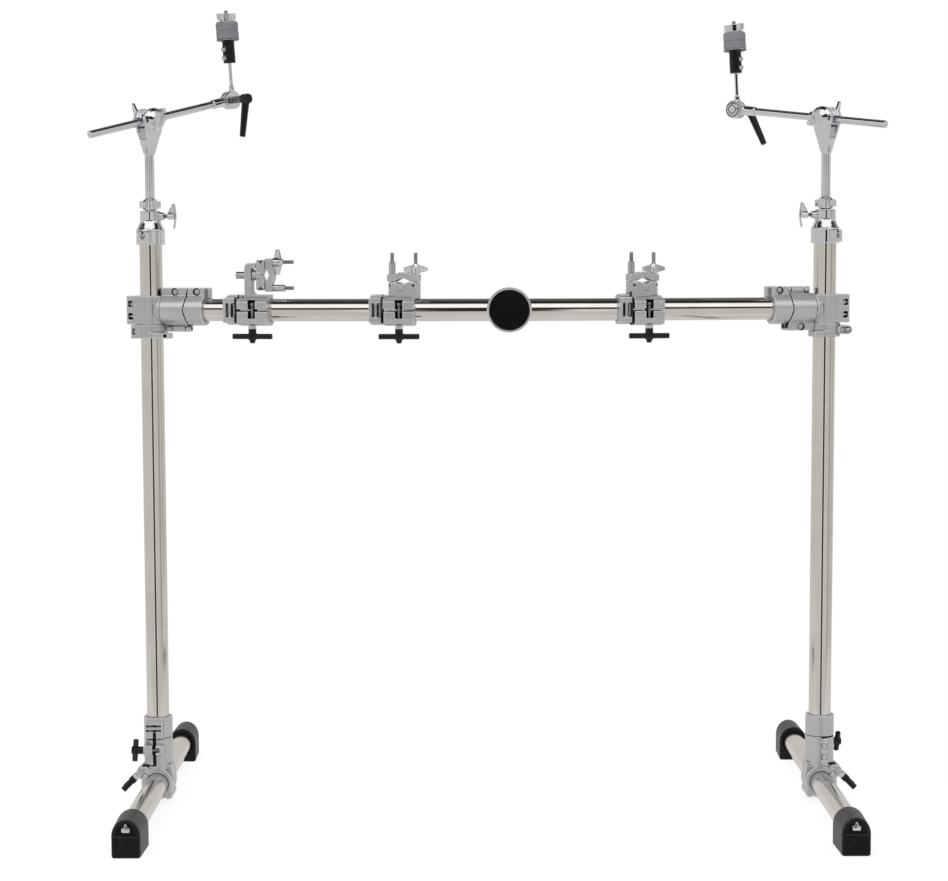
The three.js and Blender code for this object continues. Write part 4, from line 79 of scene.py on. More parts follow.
@dataclass(frozen=True)
class RackSizes:
    """Driving sizes of the rack, as in the model."""

    half_spacing: float = 573.0
    bar_height: float = 852.0
    bar_bow: float = 70.0
    bar_end_shortfall: float = 24.0
    foot_length: float = 710.0
    foot_axis: float = 35.0
    upright_foot: float = 67.3
    upright_top: float = 982.0
    tube_radius: float = 19.05
    tube_wall: float = 1.6
    bore_radius: float = 19.45
    seat_gap: float = 0.3
    boot_length: float = 72.0
    boot_end_wall: float = 14.0
    boot_mouth_half: float = 25.5
    boot_end_half: float = 23.0
    boot_height: float = 62.0
    boot_corner: float = 4.0
    stud_height: float = 46.5
    branch_end: float = 22.4
    pivot_level: float = 1172.0
    fork_height: float = 57.0
    boom_overhang: float = 87.0
    rod_length: float = 295.0
    badge_place: float = 34.0
    badge_radius: float = 37.5
    badge_rim: float = 4.0
    badge_back: float = 21.0
    badge_front: float = 28.0
    seat_back: float = -5.3
    felt_foot: float = 103.9
    felt_height: float = 14.4
    felt_radius: float = 19.2
    stud_spacing: float = 21.7

    @property
    def arc_radius(self) -> float:
        """Radius of the cross bar's centre line."""
        return (self.half_spacing**2 + self.bar_bow**2) / (2 * self.bar_bow)

    @property
    def arc_centre_y(self) -> float:
        """Place of the arc's centre behind the uprights."""
        return self.arc_radius - self.bar_bow

    @property
    def cross_turn(self) -> float:
        """Degrees of the T-clamps' turn, along the bar at the start of their branches."""
        return -math.degrees(math.asin((self.half_spacing - self.branch_end) / self.arc_radius))

    @property
    def bar_half_angle(self) -> float:
        """Angle from the bar's middle to each of its ends."""
        return math.asin(self.half_spacing / self.arc_radius) - self.bar_end_shortfall / self.arc_radius


@dataclass(frozen=True)
class LegSizes:
    """Heights above the floor and reaches of a leg clamp."""

    foot: float = 58.0
    top: float = 151.0
    radius: float = 24.5
    door_foot: float = 67.0
    door_top: float = 113.5
    saddle_half: float = 24.0
    saddle_radius: float = 27.5
    lug: float = 34.0
    key: float = 132.85
    bolt: float = 96.0
    bolt_front: float = 27.5


@dataclass(frozen=True)
class CrossingSizes:
    """Sizes of a T-clamp and its lock ring."""

    half_height: float = 24.0
    radius: float = 26.5
    bar_bore: float = 19.55
    bolt_lift: float = 30.5
    ring_half: float = 11.85
    ring_gap: float = 0.6


@dataclass(frozen=True)
class CollarSizes:
    """Heights above the floor and radii of a top collar."""

    foot: float = 962.0
    shoulder: float = 987.0
    neck: float = 1001.0
    top: float = 1019.5
    radius: float = 24.0
    neck_radius: float = 17.3
    screw: float = 1010.25
    key: float = 974.5
    hole: float = 981.5


@dataclass(frozen=True)
class Side:
    """One side of the rack. Apart from its place, its numbers are angles in degrees.

    Attributes:
        name: How the names of its pieces start.
        place: -1 on the left and 1 on the right.
        flip: Half a turn on the right, where the leg and the T-clamp face the other way.
        screw: Where the collar's wing screw points.
        boss: Where the collar's boss points, from the wing screw.
        swing: Where the boom points, seen from above.
        rise: How far the boom rises.
        lean: How far the cymbal seat leans.
        lever: How far the lever is turned.
        roll: Half a turn where the tilter's locking screw faces the other way.
    """

    name: str
    place: float
    flip: float
    screw: float
    boss: float
    swing: float
    rise: float
    lean: float
    lever: float
    roll: float


@dataclass(frozen=True)
class RackClamp:
    """One clamp on the cross bar, with the shift and turn of its V-clamp."""

    number: int
    place: float
    shift: float
    turn: float
    angled: bool = False


SIZES = RackSizes()
LEG = LegSizes()
CROSSING = CrossingSizes()
COLLAR = CollarSizes()
SIDES = (
    Side("left", -1, 0, -10, -101, 42, 13.9, -4.4, 7, 0),
    Side("right", 1, 180, 188, 122, 140.5, 7.5, 3.5, 27, 180),
)
CLAMPS = (
    RackClamp(1, -390, 0, 0, angled=True),
    RackClamp(2, -147, 6, -20),
    RackClamp(3, 264, -6, 20),
)


class Place:
    """A frame of the rack: a rigid transform in millimetres."""

    def __init__(self, matrix: Matrix | None = None) -> None:
        """Keeps the transform.

        Args:
            matrix: The 4 by 4 transform, or None for the rack's own frame.
        """
        self.matrix = matrix if matrix is not None else Matrix.Identity(4)

    def moved(self, x: float = 0.0, y: float = 0.0, z: float = 0.0) -> "Place":
        """Returns this frame moved along its own axes.

        Args:
            x: Distance along X.
            y: Distance along Y.
            z: Distance along Z.

        Returns:
            The moved frame.
        """
        return Place(self.matrix @ Matrix.Translation((x, y, z)))

    def turned(self, x: float = 0.0, y: float = 0.0, z: float = 0.0) -> "Place":
        """Returns this frame turned about its own X, then Y, then Z axis.

        Args:
            x: Degrees about X.
            y: Degrees about Y.
            z: Degrees about Z.

        Returns:
            The turned frame.
        """
        turn = Matrix.Identity(4)
        for angle, axis in ((x, "X"), (y, "Y"), (z, "Z")):
            turn = turn @ Matrix.Rotation(math.radians(angle), 4, axis)
        return Place(self.matrix @ turn)

    def to_rack(self, points: np.ndarray) -> np.ndarray:
        """Turns points of this frame into points of the rack.

        Args:
            points: An array of points in millimetres.

        Returns:
            The same points in the rack's frame.
        """
        matrix = np.array(self.matrix)
        return points @ matrix[:3, :3].T + matrix[:3, 3]

    def from_rack(self, points: np.ndarray) -> np.ndarray:
        """Turns points of the rack into points of this frame.

        Args:
            points: An array of points in millimetres.

        Returns:
            The same points in this frame.
        """
        matrix = np.array(self.matrix.inverted())
        return points @ matrix[:3, :3].T + matrix[:3, 3]


class RackPlaces:
    """The frames of the rack's groups."""

    @staticmethod
    def upright(side: Side) -> Place:
        """Returns the frame where an upright's axis meets the floor."""
        return Place().moved(side.place * SIZES.half_spacing)

    @staticmethod
    def leg(side: Side) -> Place:
        """Returns the frame of a leg, with the rack's inner side at +X."""
        return RackPlaces.upright(side).turned(z=side.flip)

    @staticmethod
    def crossing(side: Side, drop: float = 0.0) -> Place:
        """Returns the frame of a T-clamp, or of what lies a drop below it."""
        middle = RackPlaces.upright(side).moved(z=SIZES.bar_height - drop)
        return middle.turned(y=side.flip, z=SIZES.cross_turn)

    @staticmethod
    def bar(place: float) -> Place:
        """Returns the frame on the cross bar at a place along X.

        Args:
            place: The place along X.

        Returns:
            The frame, whose X runs along the bar.
        """
        angle = math.asin(place / SIZES.arc_radius)
        back = SIZES.arc_centre_y - SIZES.arc_radius * math.cos(angle)
        return Place().moved(place, back, SIZES.bar_height).turned(z=math.degrees(angle))

    @staticmethod
    def v_clamp(clamp: RackClamp) -> Place:
        """Returns the frame at the top of a V-clamp's base.

        Args:
            clamp: The clamp on the bar.

        Returns:
            The frame, whose Z points out of the V.
        """
        group = RackPlaces.bar(clamp.place)
        if clamp.angled:
            return group.moved(16.0, 0.0, 58.5).turned(y=90.0)
        return group.moved(clamp.shift, 0.0, 46.8).turned(z=clamp.turn)

    @staticmethod
    def collar(side: Side) -> Place:
        """Returns the frame of a top collar, whose X points at its wing screw."""
        return RackPlaces.upright(side).turned(z=side.screw)

    @staticmethod
    def mast(side: Side) -> Place:
        """Returns the frame of a mast, whose X points along the boom."""
        return RackPlaces.upright(side).turned(z=side.swing)

    @staticmethod
    def boom(side: Side) -> Place:
        """Returns the frame of a boom at its pivot."""
        return RackPlaces.mast(side).moved(z=SIZES.pivot_level).turned(y=-side.rise)

    @staticmethod
    def boom_start(side: Side) -> float:
        """Returns where a boom's rod starts, along its own axis."""
        overhang = SIZES.boom_overhang / abs(math.cos(math.radians(side.swing)))
        return -overhang / math.cos(math.radians(side.rise))

    @staticmethod
    def hub(side: Side) -> Place:
        """Returns the level frame at the hub at the end of a boom.

        Args:
            side: The side of the rack.

        Returns:
            The frame, whose Y is the hub's axis.
        """
        reach = RackPlaces.boom_start(side) + SIZES.rod_length
        rise = math.radians(side.rise)
        level = SIZES.pivot_level + reach * math.sin(rise)
        return RackPlaces.mast(side).moved(reach * math.cos(rise), 0.0, level)


class Slot(Enum):
    """The record's material slots."""

    STAINLESS = "stainless"
    CAST = "satin_cast"
    CHROME = "chrome"
    PLASTIC = "black_plastic"
    RUBBER = "rubber"
    FELT = "felt"
    ENAMEL = "black_enamel"


class Socket:
    """A value or colour inside a shader, with ordinary arithmetic."""

    def __init__(self, graph: "Graph", socket: bpy.types.NodeSocket) -> None:
        """Keeps the node socket and the graph that it belongs to."""
        self.graph = graph
        self.socket = socket

    def _math(self, operation: str, *values: "Socket | float", clamp: bool = False) -> "Socket":
        """Adds one Math node.

        Args:
            operation: The node's operation.
            values: Its inputs, in order.
            clamp: Whether the result is kept between 0 and 1.

        Returns:
            The node's output.
        """
        node = self.graph.tree.nodes.new("ShaderNodeMath")
        node.operation = operation
        node.use_clamp = clamp
        for target, value in zip(node.inputs, values):
            self.graph.feed(target, value)
        return Socket(self.graph, node.outputs[0])

    def __add__(self, other: "Socket | float") -> "Socket":
        """Returns the sum."""
        return self._math("ADD", self, other)

    def __radd__(self, other: float) -> "Socket":
        """Returns the sum with a number in front."""
        return self._math("ADD", other, self)

    def __sub__(self, other: "Socket | float") -> "Socket":
        """Returns the difference."""
        return self._math("SUBTRACT", self, other)

    def __rsub__(self, other: float) -> "Socket":
        """Returns the difference from a number in front."""
        return self._math("SUBTRACT", other, self)

    def __mul__(self, other: "Socket | float") -> "Socket":
        """Returns the product."""
        return self._math("MULTIPLY", self, other)

    def __truediv__(self, other: "Socket | float") -> "Socket":
        """Returns the quotient."""
        return self._math("DIVIDE", self, other)

    def __abs__(self) -> "Socket":
        """Returns the value without its sign."""
        return self._math("ABSOLUTE", self)

    def sine(self) -> "Socket":
        """Returns the sine of this value."""
        return self._math("SINE", self)

    def angle_from(self, along: "Socket") -> "Socket":
        """Returns the angle in radians of a pair whose other part lies along zero."""
        return self._math("ARCTAN2", self, along)

    def within(self, low: float, high: float, soft: float) -> "Socket":
        """Returns 1 between two values and 0 outside them, with soft ends.

        Args:
            low: Where the range starts.
            high: Where it ends.
            soft: Half the width of each soft end.

        Returns:
            The mask, kept between 0 and 1.
        """
        return self.above(low - soft, low + soft) * (1.0 - self.above(high - soft, high + soft))

    def above(self, low: float, high: float) -> "Socket":
        """Returns a ramp from 0 at one value to 1 at another.

        Args:
            low: The value that gives 0.
            high: The value that gives 1.

        Returns:
            The ramp, kept between 0 and 1.
        """
        return self._math("MULTIPLY", self - low, 1.0 / (high - low), clamp=True)

    def blend(self, dark: "Socket | Colour", light: "Socket | Colour") -> "Socket":
        """Blends two colours by this value.

        Args:
            dark: The colour at 0.
            light: The colour at 1.

        Returns:
            The blended colour.
        """
        node = self.graph.tree.nodes.new("ShaderNodeMix")
        node.data_type = "RGBA"
        colours = [socket for socket in node.inputs if socket.type == "RGBA"]
        self.graph.feed(node.inputs[0], self)
        self.graph.feed(colours[0], dark)
        self.graph.feed(colours[1], light)
        return Socket(self.graph, next(out for out in node.outputs if out.type == "RGBA"))


class Graph:
    """Builds one node tree."""

    def __init__(self, tree: bpy.types.NodeTree) -> None:
        """Empties the tree for new nodes.

        Args:
            tree: The node tree of a material or world.
        """
        self.tree = tree
        tree.nodes.clear()

    def feed(self, target: bpy.types.NodeSocket, value: "Socket | float | Sequence[float]") -> None:
        """Sets an input socket or links it.

        Args:
            target: The input socket.
            value: A constant, or the socket that feeds it.
        """
        if isinstance(value, Socket):
            self.tree.links.new(value.socket, target)
        else:
            target.default_value = value

    def node(
        self, kind: str, output: int | str = 0, settings: dict | None = None, **inputs: object,
    ) -> Socket:
        """Adds any other node.

        Args:
            kind: The node's type, without its ShaderNode prefix.
            output: The output that is returned.
            settings: Properties of the node.
            inputs: Input values by name, with underscores for spaces.

        Returns:
            The chosen output.
        """
        made = self.tree.nodes.new(f"ShaderNode{kind}")
        for name, value in (settings or {}).items():
            setattr(made, name, value)
        for name, value in inputs.items():
            self.feed(made.inputs[name.replace("_", " ")], value)
        return Socket(self, made.outputs[output])

    def noise(self, scale: float, detail: float = 2.0, stretch: Point = (1.0, 1.0, 1.0)) -> Socket:
        """Adds noise on object coordinates.

        Args:
            scale: Waves per metre.
            detail: The noise's detail.
            stretch: Scale along each axis.

        Returns:
            The noise value.
        """
        coordinates = self.node("TexCoord", "Object")
        mapped = self.node("Mapping", Vector=coordinates, Scale=stretch)
        return self.node("TexNoise", 0, Vector=mapped, Scale=scale, Detail=detail, Roughness=0.55)

    def show(self, kind: str, surface: "Socket") -> None:
        """Makes a shader the tree's surface.

        Args:
            kind: The output node's type, Material or World.
            surface: The shader.
        """
        output = self.tree.nodes.new(f"ShaderNodeOutput{kind}")
        self.feed(output.inputs["Surface"], surface)


@dataclass(frozen=True)
class Finish:
    """The look of one material.

    Attributes:
        name: The material's name.
        base: Its main colour.
        shade: The colour of its darker patches, and of the painted shade in the grooves of its thread.
        edge: The colour of its worn edges. On the castings it is also a painted highlight where their bevels
            catch light.
        metallic: How metallic it is.
        roughness: Its mean roughness.
        spread: How far the roughness varies.
        grain: Waves of its grain per metre.
        grain_depth: The depth of the grain.
        stretch: The scale of the grain along each axis.
        thread: The pitch of its thread in millimetres, or 0.
        shine: Its reflection level.
        hollow_shade: How dark the painted shade gets in its creases and partings.
    """

    name: str
    base: Colour
    shade: Colour
    edge: Colour
    metallic: float
    roughness: float
    spread: float
    grain: float
    grain_depth: float
    stretch: Point = (1.0, 1.0, 1.0)
    thread: float = 0.0
    shine: float = 0.5
    hollow_shade: float = 0.0


class Finishes:
    """Makes the rack's materials once each."""

    POLISHED = Finish(
        "polished_stainless", (0.78, 0.76, 0.73, 1), (0.70, 0.675, 0.64, 1), (0.86, 0.85, 0.83, 1),
        1.0, 0.10, 0.07, 90, 0.02, stretch=(1.0, 1.0, 0.06),
    )
    TABLE = {
        "stainless": POLISHED,
        "stainless_across": replace(POLISHED, name="polished_stainless_bar", stretch=(0.06, 1.0, 1.0)),
        "stainless_along": replace(
            POLISHED, name="polished_stainless_foot", roughness=0.12, spread=0.08, stretch=(1.0, 0.06, 1.0),
        ),
        "cast": Finish(
            "satin_casting", (0.57, 0.575, 0.585, 1), (0.49, 0.494, 0.503, 1), (0.93, 0.935, 0.94, 1),
            0.62, 0.34, 0.12, 1400, 0.08, hollow_shade=0.9,
        ),
        "chrome": Finish(
            "bright_chrome", (0.79, 0.805, 0.83, 1), (0.71, 0.725, 0.75, 1), (0.92, 0.93, 0.95, 1),
            1.0, 0.07, 0.05, 240, 0.015, hollow_shade=0.75,
        ),
        "steel": Finish(
            "threaded_steel", (0.44, 0.44, 0.445, 1), (0.16, 0.16, 0.165, 1), (0.70, 0.70, 0.70, 1),
            1.0, 0.26, 0.10, 500, 0.05, thread=1.25,
        ),
        "bolt": Finish(
            "key_bolt_steel", (0.70, 0.70, 0.71, 1), (0.52, 0.52, 0.53, 1), (0.84, 0.84, 0.84, 1),
            1.0, 0.20, 0.08, 500, 0.04,
        ),
        "plastic": Finish(
            "moulded_nylon", (0.009, 0.009, 0.010, 1), (0.006, 0.006, 0.007, 1), (0.045, 0.045, 0.048, 1),
            0.0, 0.26, 0.08, 900, 0.08, shine=0.28,
        ),
        "rubber": Finish(
            "boot_rubber", (0.025, 0.025, 0.026, 1), (0.014, 0.014, 0.015, 1), (0.085, 0.085, 0.087, 1),
            0.0, 0.40, 0.14, 700, 0.22, shine=0.4,
        ),
        "rubber_face": Finish(
            "boot_face", (0.006, 0.006, 0.007, 1), (0.003, 0.003, 0.004, 1), (0.02, 0.02, 0.02, 1),
            0.0, 0.30, 0.05, 300, 0.02, shine=0.15,
        ),
        "felt": Finish(
            "grey_felt", (0.265, 0.258, 0.275, 1), (0.175, 0.17, 0.185, 1), (0.36, 0.355, 0.37, 1),
            0.0, 0.95, 0.04, 2600, 0.9, stretch=(0.2, 0.2, 2.0),
        ),
        "enamel": Finish(
            "black_enamel", (0.006, 0.006, 0.007, 1), (0.004, 0.004, 0.005, 1), (0.014, 0.014, 0.014, 1),
            0.0, 0.20, 0.05, 300, 0.01, shine=0.3,
        ),
        # Painted shade, laid on partings, slots, wells, holes, bores and grooves where shade falls.
        "dark": Finish(
            "shadowed_seam", (0.010, 0.010, 0.010, 1), (0.006, 0.006, 0.006, 1), (0.016, 0.016, 0.016, 1),
            0.0, 0.7, 0.1, 400, 0.1,
        ),
    }

    def __init__(self) -> None:
        """Starts with no material made."""
        self._made: dict[str, bpy.types.Material] = {}

    def get(self, key: str) -> bpy.types.Material:
        """Returns a material, made on its first use.

        Args:
            key: Its key in the table.

        Returns:
            The material.
        """
        if key not in self._made:
            self._made[key] = self._build(self.TABLE[key])
            LOG.info("material %s", self.TABLE[key].name)
        return self._made[key]

    @staticmethod
    def _build(finish: Finish) -> bpy.types.Material:
        """Builds one material from its finish.

        Args:
            finish: The look.

        Returns:
            The new material.
        """
        material = bpy.data.materials.new(finish.name)
        material.use_nodes = True
        graph = Graph(material.node_tree)
        cloud = graph.noise(18.0, 3.0)
        smear = graph.noise(finish.grain / 6.0, 3.0, finish.stretch)
        grain = graph.noise(finish.grain, 2.0, finish.stretch)
        pointiness = graph.node("NewGeometry", "Pointiness")
        edges, hollow_shade_range, hollow_shade_colour = (0.508, 0.56), (0.455, 0.495), (0.012, 0.012, 0.012, 1.0)
        # Sharp rims get a lighter colour and more roughness: worn metal, and on the castings also a painted
        # highlight on the bevels.
        worn_and_lit_rims = pointiness.above(*edges)
        tone = (cloud * 0.5 + smear * 0.5).above(0.36, 0.64)
        colour = tone.blend(finish.shade, finish.base)
        colour = (worn_and_lit_rims * (0.45 + smear * 0.4)).blend(colour, finish.edge)
        # Concave creases and partings get painted shade: the deeper they are, the darker.
        if finish.hollow_shade:
            depth = 1.0 - pointiness.above(*hollow_shade_range)
            colour = (depth * finish.hollow_shade).blend(colour, hollow_shade_colour)
        roughness = finish.roughness + (smear - 0.5) * finish.spread + worn_and_lit_rims * (finish.spread * 0.3)
        height = grain * finish.grain_depth
        if finish.thread:
            along = graph.node("Attribute", "Fac", {"attribute_name": "along"})
            turn = (along * (2.0 * math.pi / finish.thread)).sine()
            # The thread's grooves get painted shade, along with their bump.
            colour = turn.above(-1.0, 0.4).blend(finish.shade, colour)
            height = height + turn * 0.5
        bump = graph.node("Bump", 0, Height=height, Strength=0.35, Distance=0.0006)
        shader = graph.node(
            "BsdfPrincipled", 0, Base_Color=colour, Roughness=roughness, Normal=bump,
            Metallic=finish.metallic, Specular_IOR_Level=finish.shine,
        )
        graph.show("Material", shader)
        return material


@dataclass(frozen=True)
class Round:
    """A round surface of a faceted solid, between two points of its axis."""

    foot: Point
    top: Point
    radius: float
    end_radius: float | None = None
    sides: int = 16

    @property
    def length(self) -> float:
        """Length of the axis."""
        return float(np.linalg.norm(np.subtract(self.top, self.foot)))

    @property
    def top_radius(self) -> float:
        """Radius at the top of the axis."""
        return self.radius if self.end_radius is None else self.end_radius

    def _own(self, points: np.ndarray) -> tuple[np.ndarray, np.ndarray]:
        """Returns the points in the frame whose Y runs along this axis from its foot.

        Args:
            points: The points in the frame of the surface.

        Returns:
            The turned points and the basis of that frame.
        """
        foot = np.array(self.foot)
        axis = (np.array(self.top) - foot) / self.length
        up = np.array([0.0, 1.0, 0.0])
        cross = np.cross(up, axis)
        dot = float(axis @ up)
        if dot < -0.9999:
            basis = np.diag([1.0, -1.0, -1.0])
        else:
            skew = np.array([[0, -cross[2], cross[1]], [cross[2], 0, -cross[0]], [-cross[1], cross[0], 0]])
            basis = np.eye(3) + skew + skew @ skew / (1.0 + dot)
        return (points - foot) @ basis, basis

    def along(self, points: np.ndarray) -> np.ndarray:
        """Returns the points' distances along this axis from its foot."""
        return self._own(points)[0][:, 1]

    def apply(self, points: np.ndarray) -> np.ndarray:
        """Pushes points on this surface's facets out to the true round.

        Args:
            points: The points in the frame of the surface.

        Returns:
            The rounded points.
        """
        past_end, near_facet, near_share = 1.5, 0.4, 0.04
        local, basis = self._own(points)
        share, slack = local[:, 1] / self.length, past_end / self.length
        radius = self.radius + (self.top_radius - self.radius) * np.clip(share, 0.0, 1.0)
        distance = np.hypot(local[:, 0], local[:, 2])
        step = 2.0 * math.pi / self.sides
        turn = np.mod(np.arctan2(local[:, 0], local[:, 2]), step) - step / 2.0
        facet = math.cos(step / 2.0) / np.cos(turn)
        near = np.abs(distance - radius * facet) < near_facet + near_share * radius
        mask = near & (share > -slack) & (share < 1.0 + slack)
        local[:, ::2] *= np.where(mask, 1.0 / facet, 1.0)[:, None]
        return local @ basis.T + np.array(self.foot)

    def holds(self, points: np.ndarray, margin: float = 0.6) -> np.ndarray:
        """Tells which points lie on or inside this surface.

        Args:
            points: The points in the frame of the surface.
            margin: How far outside a point may lie.

        Returns:
            A mask over the points.
        """
        local, _ = self._own(points)
        inside = np.hypot(local[:, 0], local[:, 2]) < max(self.radius, self.top_radius) + margin
        return inside & (local[:, 1] > -margin) & (local[:, 1] < self.length + margin)


def small(foot: Point, top: Point, radius: float, end_radius: float | None = None) -> Round:
    """Returns a round with the eight sides of a small rod."""
    return Round(foot, top, radius, end_radius, 8)


@dataclass(frozen=True)
class Box:
    """A box of space in the frame of a piece."""

    low: Point
    high: Point

    def holds(self, points: np.ndarray, margin: float = 0.0) -> np.ndarray:
        """Tells which points lie in this box.

        Args:
            points: The points in the frame of the box.
            margin: How far outside a point may lie.

        Returns:
            A mask over the points.
        """
        low, high = np.array(self.low) - margin, np.array(self.high) + margin
        return np.all((points > low) & (points < high), axis=1)


@dataclass(frozen=True)
class Zone:
    """A part of a piece that has its own material, on all its faces or on those that face one way."""

    material: str
    where: Round | Box
    margin: float = 0.6
    facing: Point | None = None


def painted_seam_shade(low: Point, high: Point, facing: Point | None = None) -> Zone:
    """Returns the faces on a parting between two pieces, or in a slot, that are painted dark as shade.

    Args:
        low: The least corner of the parting's or slot's box.
        high: The greatest corner.
        facing: The direction across the parting, or None for every face in the box.

    Returns:
        The zone.
    """
    return Zone("dark", Box(low, high), 0.0, facing)


def zoned(material: str, rounds: Sequence[Round], margin: float) -> list[Zone]:
    """Returns a zone of one material on each of some rounds."""
    return [Zone(material, where, margin) for where in rounds]


def carved(points: np.ndarray, low: Point, high: Point, floor: float) -> np.ndarray:
    """Pushes the front of a piece back to a slot's floor: Y rises to the floor inside the slot.

    Args:
        points: The points of the piece.
        low: The slot's least X, Y and Z.
        high: Its greatest X, Y and Z.
        floor: The Y of its floor.

    Returns:
        The changed points.
    """
    inside = Box(low, high).holds(points)
    changed = points.copy()
    changed[inside, 1] = np.maximum(changed[inside, 1], floor)
    return changed


def swollen(points: np.ndarray, rod: Round, factor: float) -> np.ndarray:
    """Makes a rod of a piece thicker.

    Args:
        points: The points of the piece.
        rod: The rod's round surface.
        factor: How much thicker it gets.

    Returns:
        The changed points.
    """
    foot = np.array(rod.foot)
    span = np.array(rod.top) - foot
    inside = rod.holds(points, 1.0)
    axis = foot + np.outer((points - foot) @ span / float(span @ span), span)
    changed = points.copy()
    changed[inside] = axis[inside] + (points[inside] - axis[inside]) * factor
    return changed


def values(items: Sequence, name: str, kind: type, width: int = 1) -> np.ndarray:
    """Reads one property of every vertex, corner, face or triangle of a mesh.

    Args:
        items: The vertices, corners, faces or triangles.
        name: The property.
        kind: The type of its numbers.
        width: How many numbers each item has.

    Returns:
        The numbers, with a row for each item where it has more than one.
    """
    found = np.empty(len(items) * width, dtype=kind)
    items.foreach_get(name, found)
    return found.reshape(-1, width) if width > 1 else found


def placed(name: str, data: bpy.types.ID) -> bpy.types.Object:
    """Puts a mesh, light or camera into the scene.

    Args:
        name: The new object's name.
        data: The mesh, light or camera.

    Returns:
        The new object.
    """
    made = bpy.data.objects.new(name, data)
    bpy.context.scene.collection.objects.link(made)
    return made


class Piece:
    """One visible piece of the rack."""

    def __init__(self, name: str, body: str, slot: Slot, finishes: Finishes) -> None:
        """Keeps what the piece is called and what it moves with.

        Args:
            name: The piece's name.
            body: The body that it rides on.
            slot: The record's material slot.
            finishes: The rack's materials.
        """
        self.name = name
        self.body = body
        self.slot = slot
        self.finishes = finishes

    def dress(self, piece: bpy.types.Object, materials: Sequence[str]) -> None:
        """Gives a piece its materials and smooth faces.

        Args:
            piece: The object.
            materials: Keys of its materials, the main one first.
        """
        for key in materials:
            piece.data.materials.append(self.finishes.get(key))
        piece.data.polygons.foreach_set("use_smooth", np.ones(len(piece.data.polygons), dtype=bool))

    def attach(self, piece: bpy.types.Object, *nodes: str) -> None:
        """Makes a piece ride on its body in place of solids of the model.

        Args:
            piece: The object.
            nodes: The nodes that it stands for.
        """
        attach(piece, self.body)
        if nodes:
            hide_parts(*nodes)
        LOG.info("piece %s: %d faces", self.name, len(piece.data.polygons))


class Refined(Piece):
    """A solid of the model with its facets rounded and its edges eased."""

    def build(
        self, node: str, place: Place, rounds: Sequence[Round], main: str, zones: Sequence[Zone] = (),
        voxel: float = 1.05, ease: int = 3, shape: Callable[[np.ndarray], np.ndarray] | None = None,
    ) -> bpy.types.Object:
        """Builds the piece from its node.

        Args:
            node: The node of the model.
            place: The frame in which its rounds are given.
            rounds: Its round surfaces.
            main: The key of its main material.
            zones: Parts with another material.
            voxel: Size of its new faces in millimetres.
            ease: How many times its edges are smoothed.
            shape: A last change of its points, in the same frame.

        Returns:
            The new object.
        """
        mesh = self._remeshed(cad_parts[node], voxel, ease)
        local = place.from_rack(values(mesh.vertices, "co", np.float32, 3).astype(float) / MM)
        for surface in rounds:
            local = surface.apply(local)
        if shape is not None:
            local = shape(local)
        mesh.vertices.foreach_set("co", (place.to_rack(local) * MM).astype(np.float32).ravel())
        piece = placed(self.name, mesh)
        keys = [main] + sorted({zone.material for zone in zones})
        mesh.materials.clear()
        self.dress(piece, keys)
        self._paint(mesh, local, zones, keys)
        mesh.update()
        self.attach(piece, node)
        return piece

    @staticmethod
    def _remeshed(source: bpy.types.Object, voxel: float, ease: int) -> bpy.types.Mesh:
        """Returns an even, eased copy of a node's mesh.

        Args:
            source: The node's object.
            voxel: Size of the new faces in millimetres.
            ease: How many times the edges are smoothed.

        Returns:
            The new mesh.
        """
        weld_gap = 0.01
        copy = placed("refining", source.data.copy())
        weld = copy.modifiers.new("weld", "WELD")
        weld.merge_threshold = weld_gap * MM
        remesh = copy.modifiers.new("remesh", "REMESH")
        remesh.mode = "VOXEL"
        remesh.voxel_size = voxel * MM
        relax = copy.modifiers.new("relax", "SMOOTH")
        relax.factor = 0.5
        relax.iterations = ease
        evaluated = copy.evaluated_get(bpy.context.evaluated_depsgraph_get())
        mesh = bpy.data.meshes.new_from_object(evaluated)
        bpy.data.objects.remove(copy)
        return mesh

    def _paint(self, mesh: bpy.types.Mesh, local: np.ndarray, zones: Sequence[Zone], keys: list[str]) -> None:
        """Sets each face's material and each point's place along its zone's axis.

        Args:
            mesh: The piece's mesh.
            local: Its points in the frame of the zones.
            zones: Parts with another material, later ones on top.
            keys: Keys of its materials, in their order on the mesh.
        """
        if not zones:
            return
        facing_least = 0.55
        corners = values(mesh.loops, "vertex_index", np.int64)
        starts = values(mesh.polygons, "loop_start", np.int64)
        first, third = local[corners[starts]], local[corners[starts + 2]]
        centres = (first + third) / 2.0
        normals = np.cross(local[corners[starts + 1]] - first, third - first)
        normals /= np.maximum(np.linalg.norm(normals, axis=1, keepdims=True), TINY * MM)
        index = np.zeros(len(mesh.polygons), dtype=np.int32)
        along = np.zeros(len(local))
        for zone in zones:
            chosen = zone.where.holds(centres, zone.margin)
            if zone.facing is not None:
                chosen &= np.abs(normals @ np.array(zone.facing)) > facing_least
            index[chosen] = keys.index(zone.material)
            if isinstance(zone.where, Round):
                inside = zone.where.holds(local, zone.margin)
                along[inside] = zone.where.along(local)[inside]
        mesh.polygons.foreach_set("material_index", index)
        attribute = mesh.attributes.new("along", "FLOAT", "POINT")
        attribute.data.foreach_set("value", along.astype(np.float32))


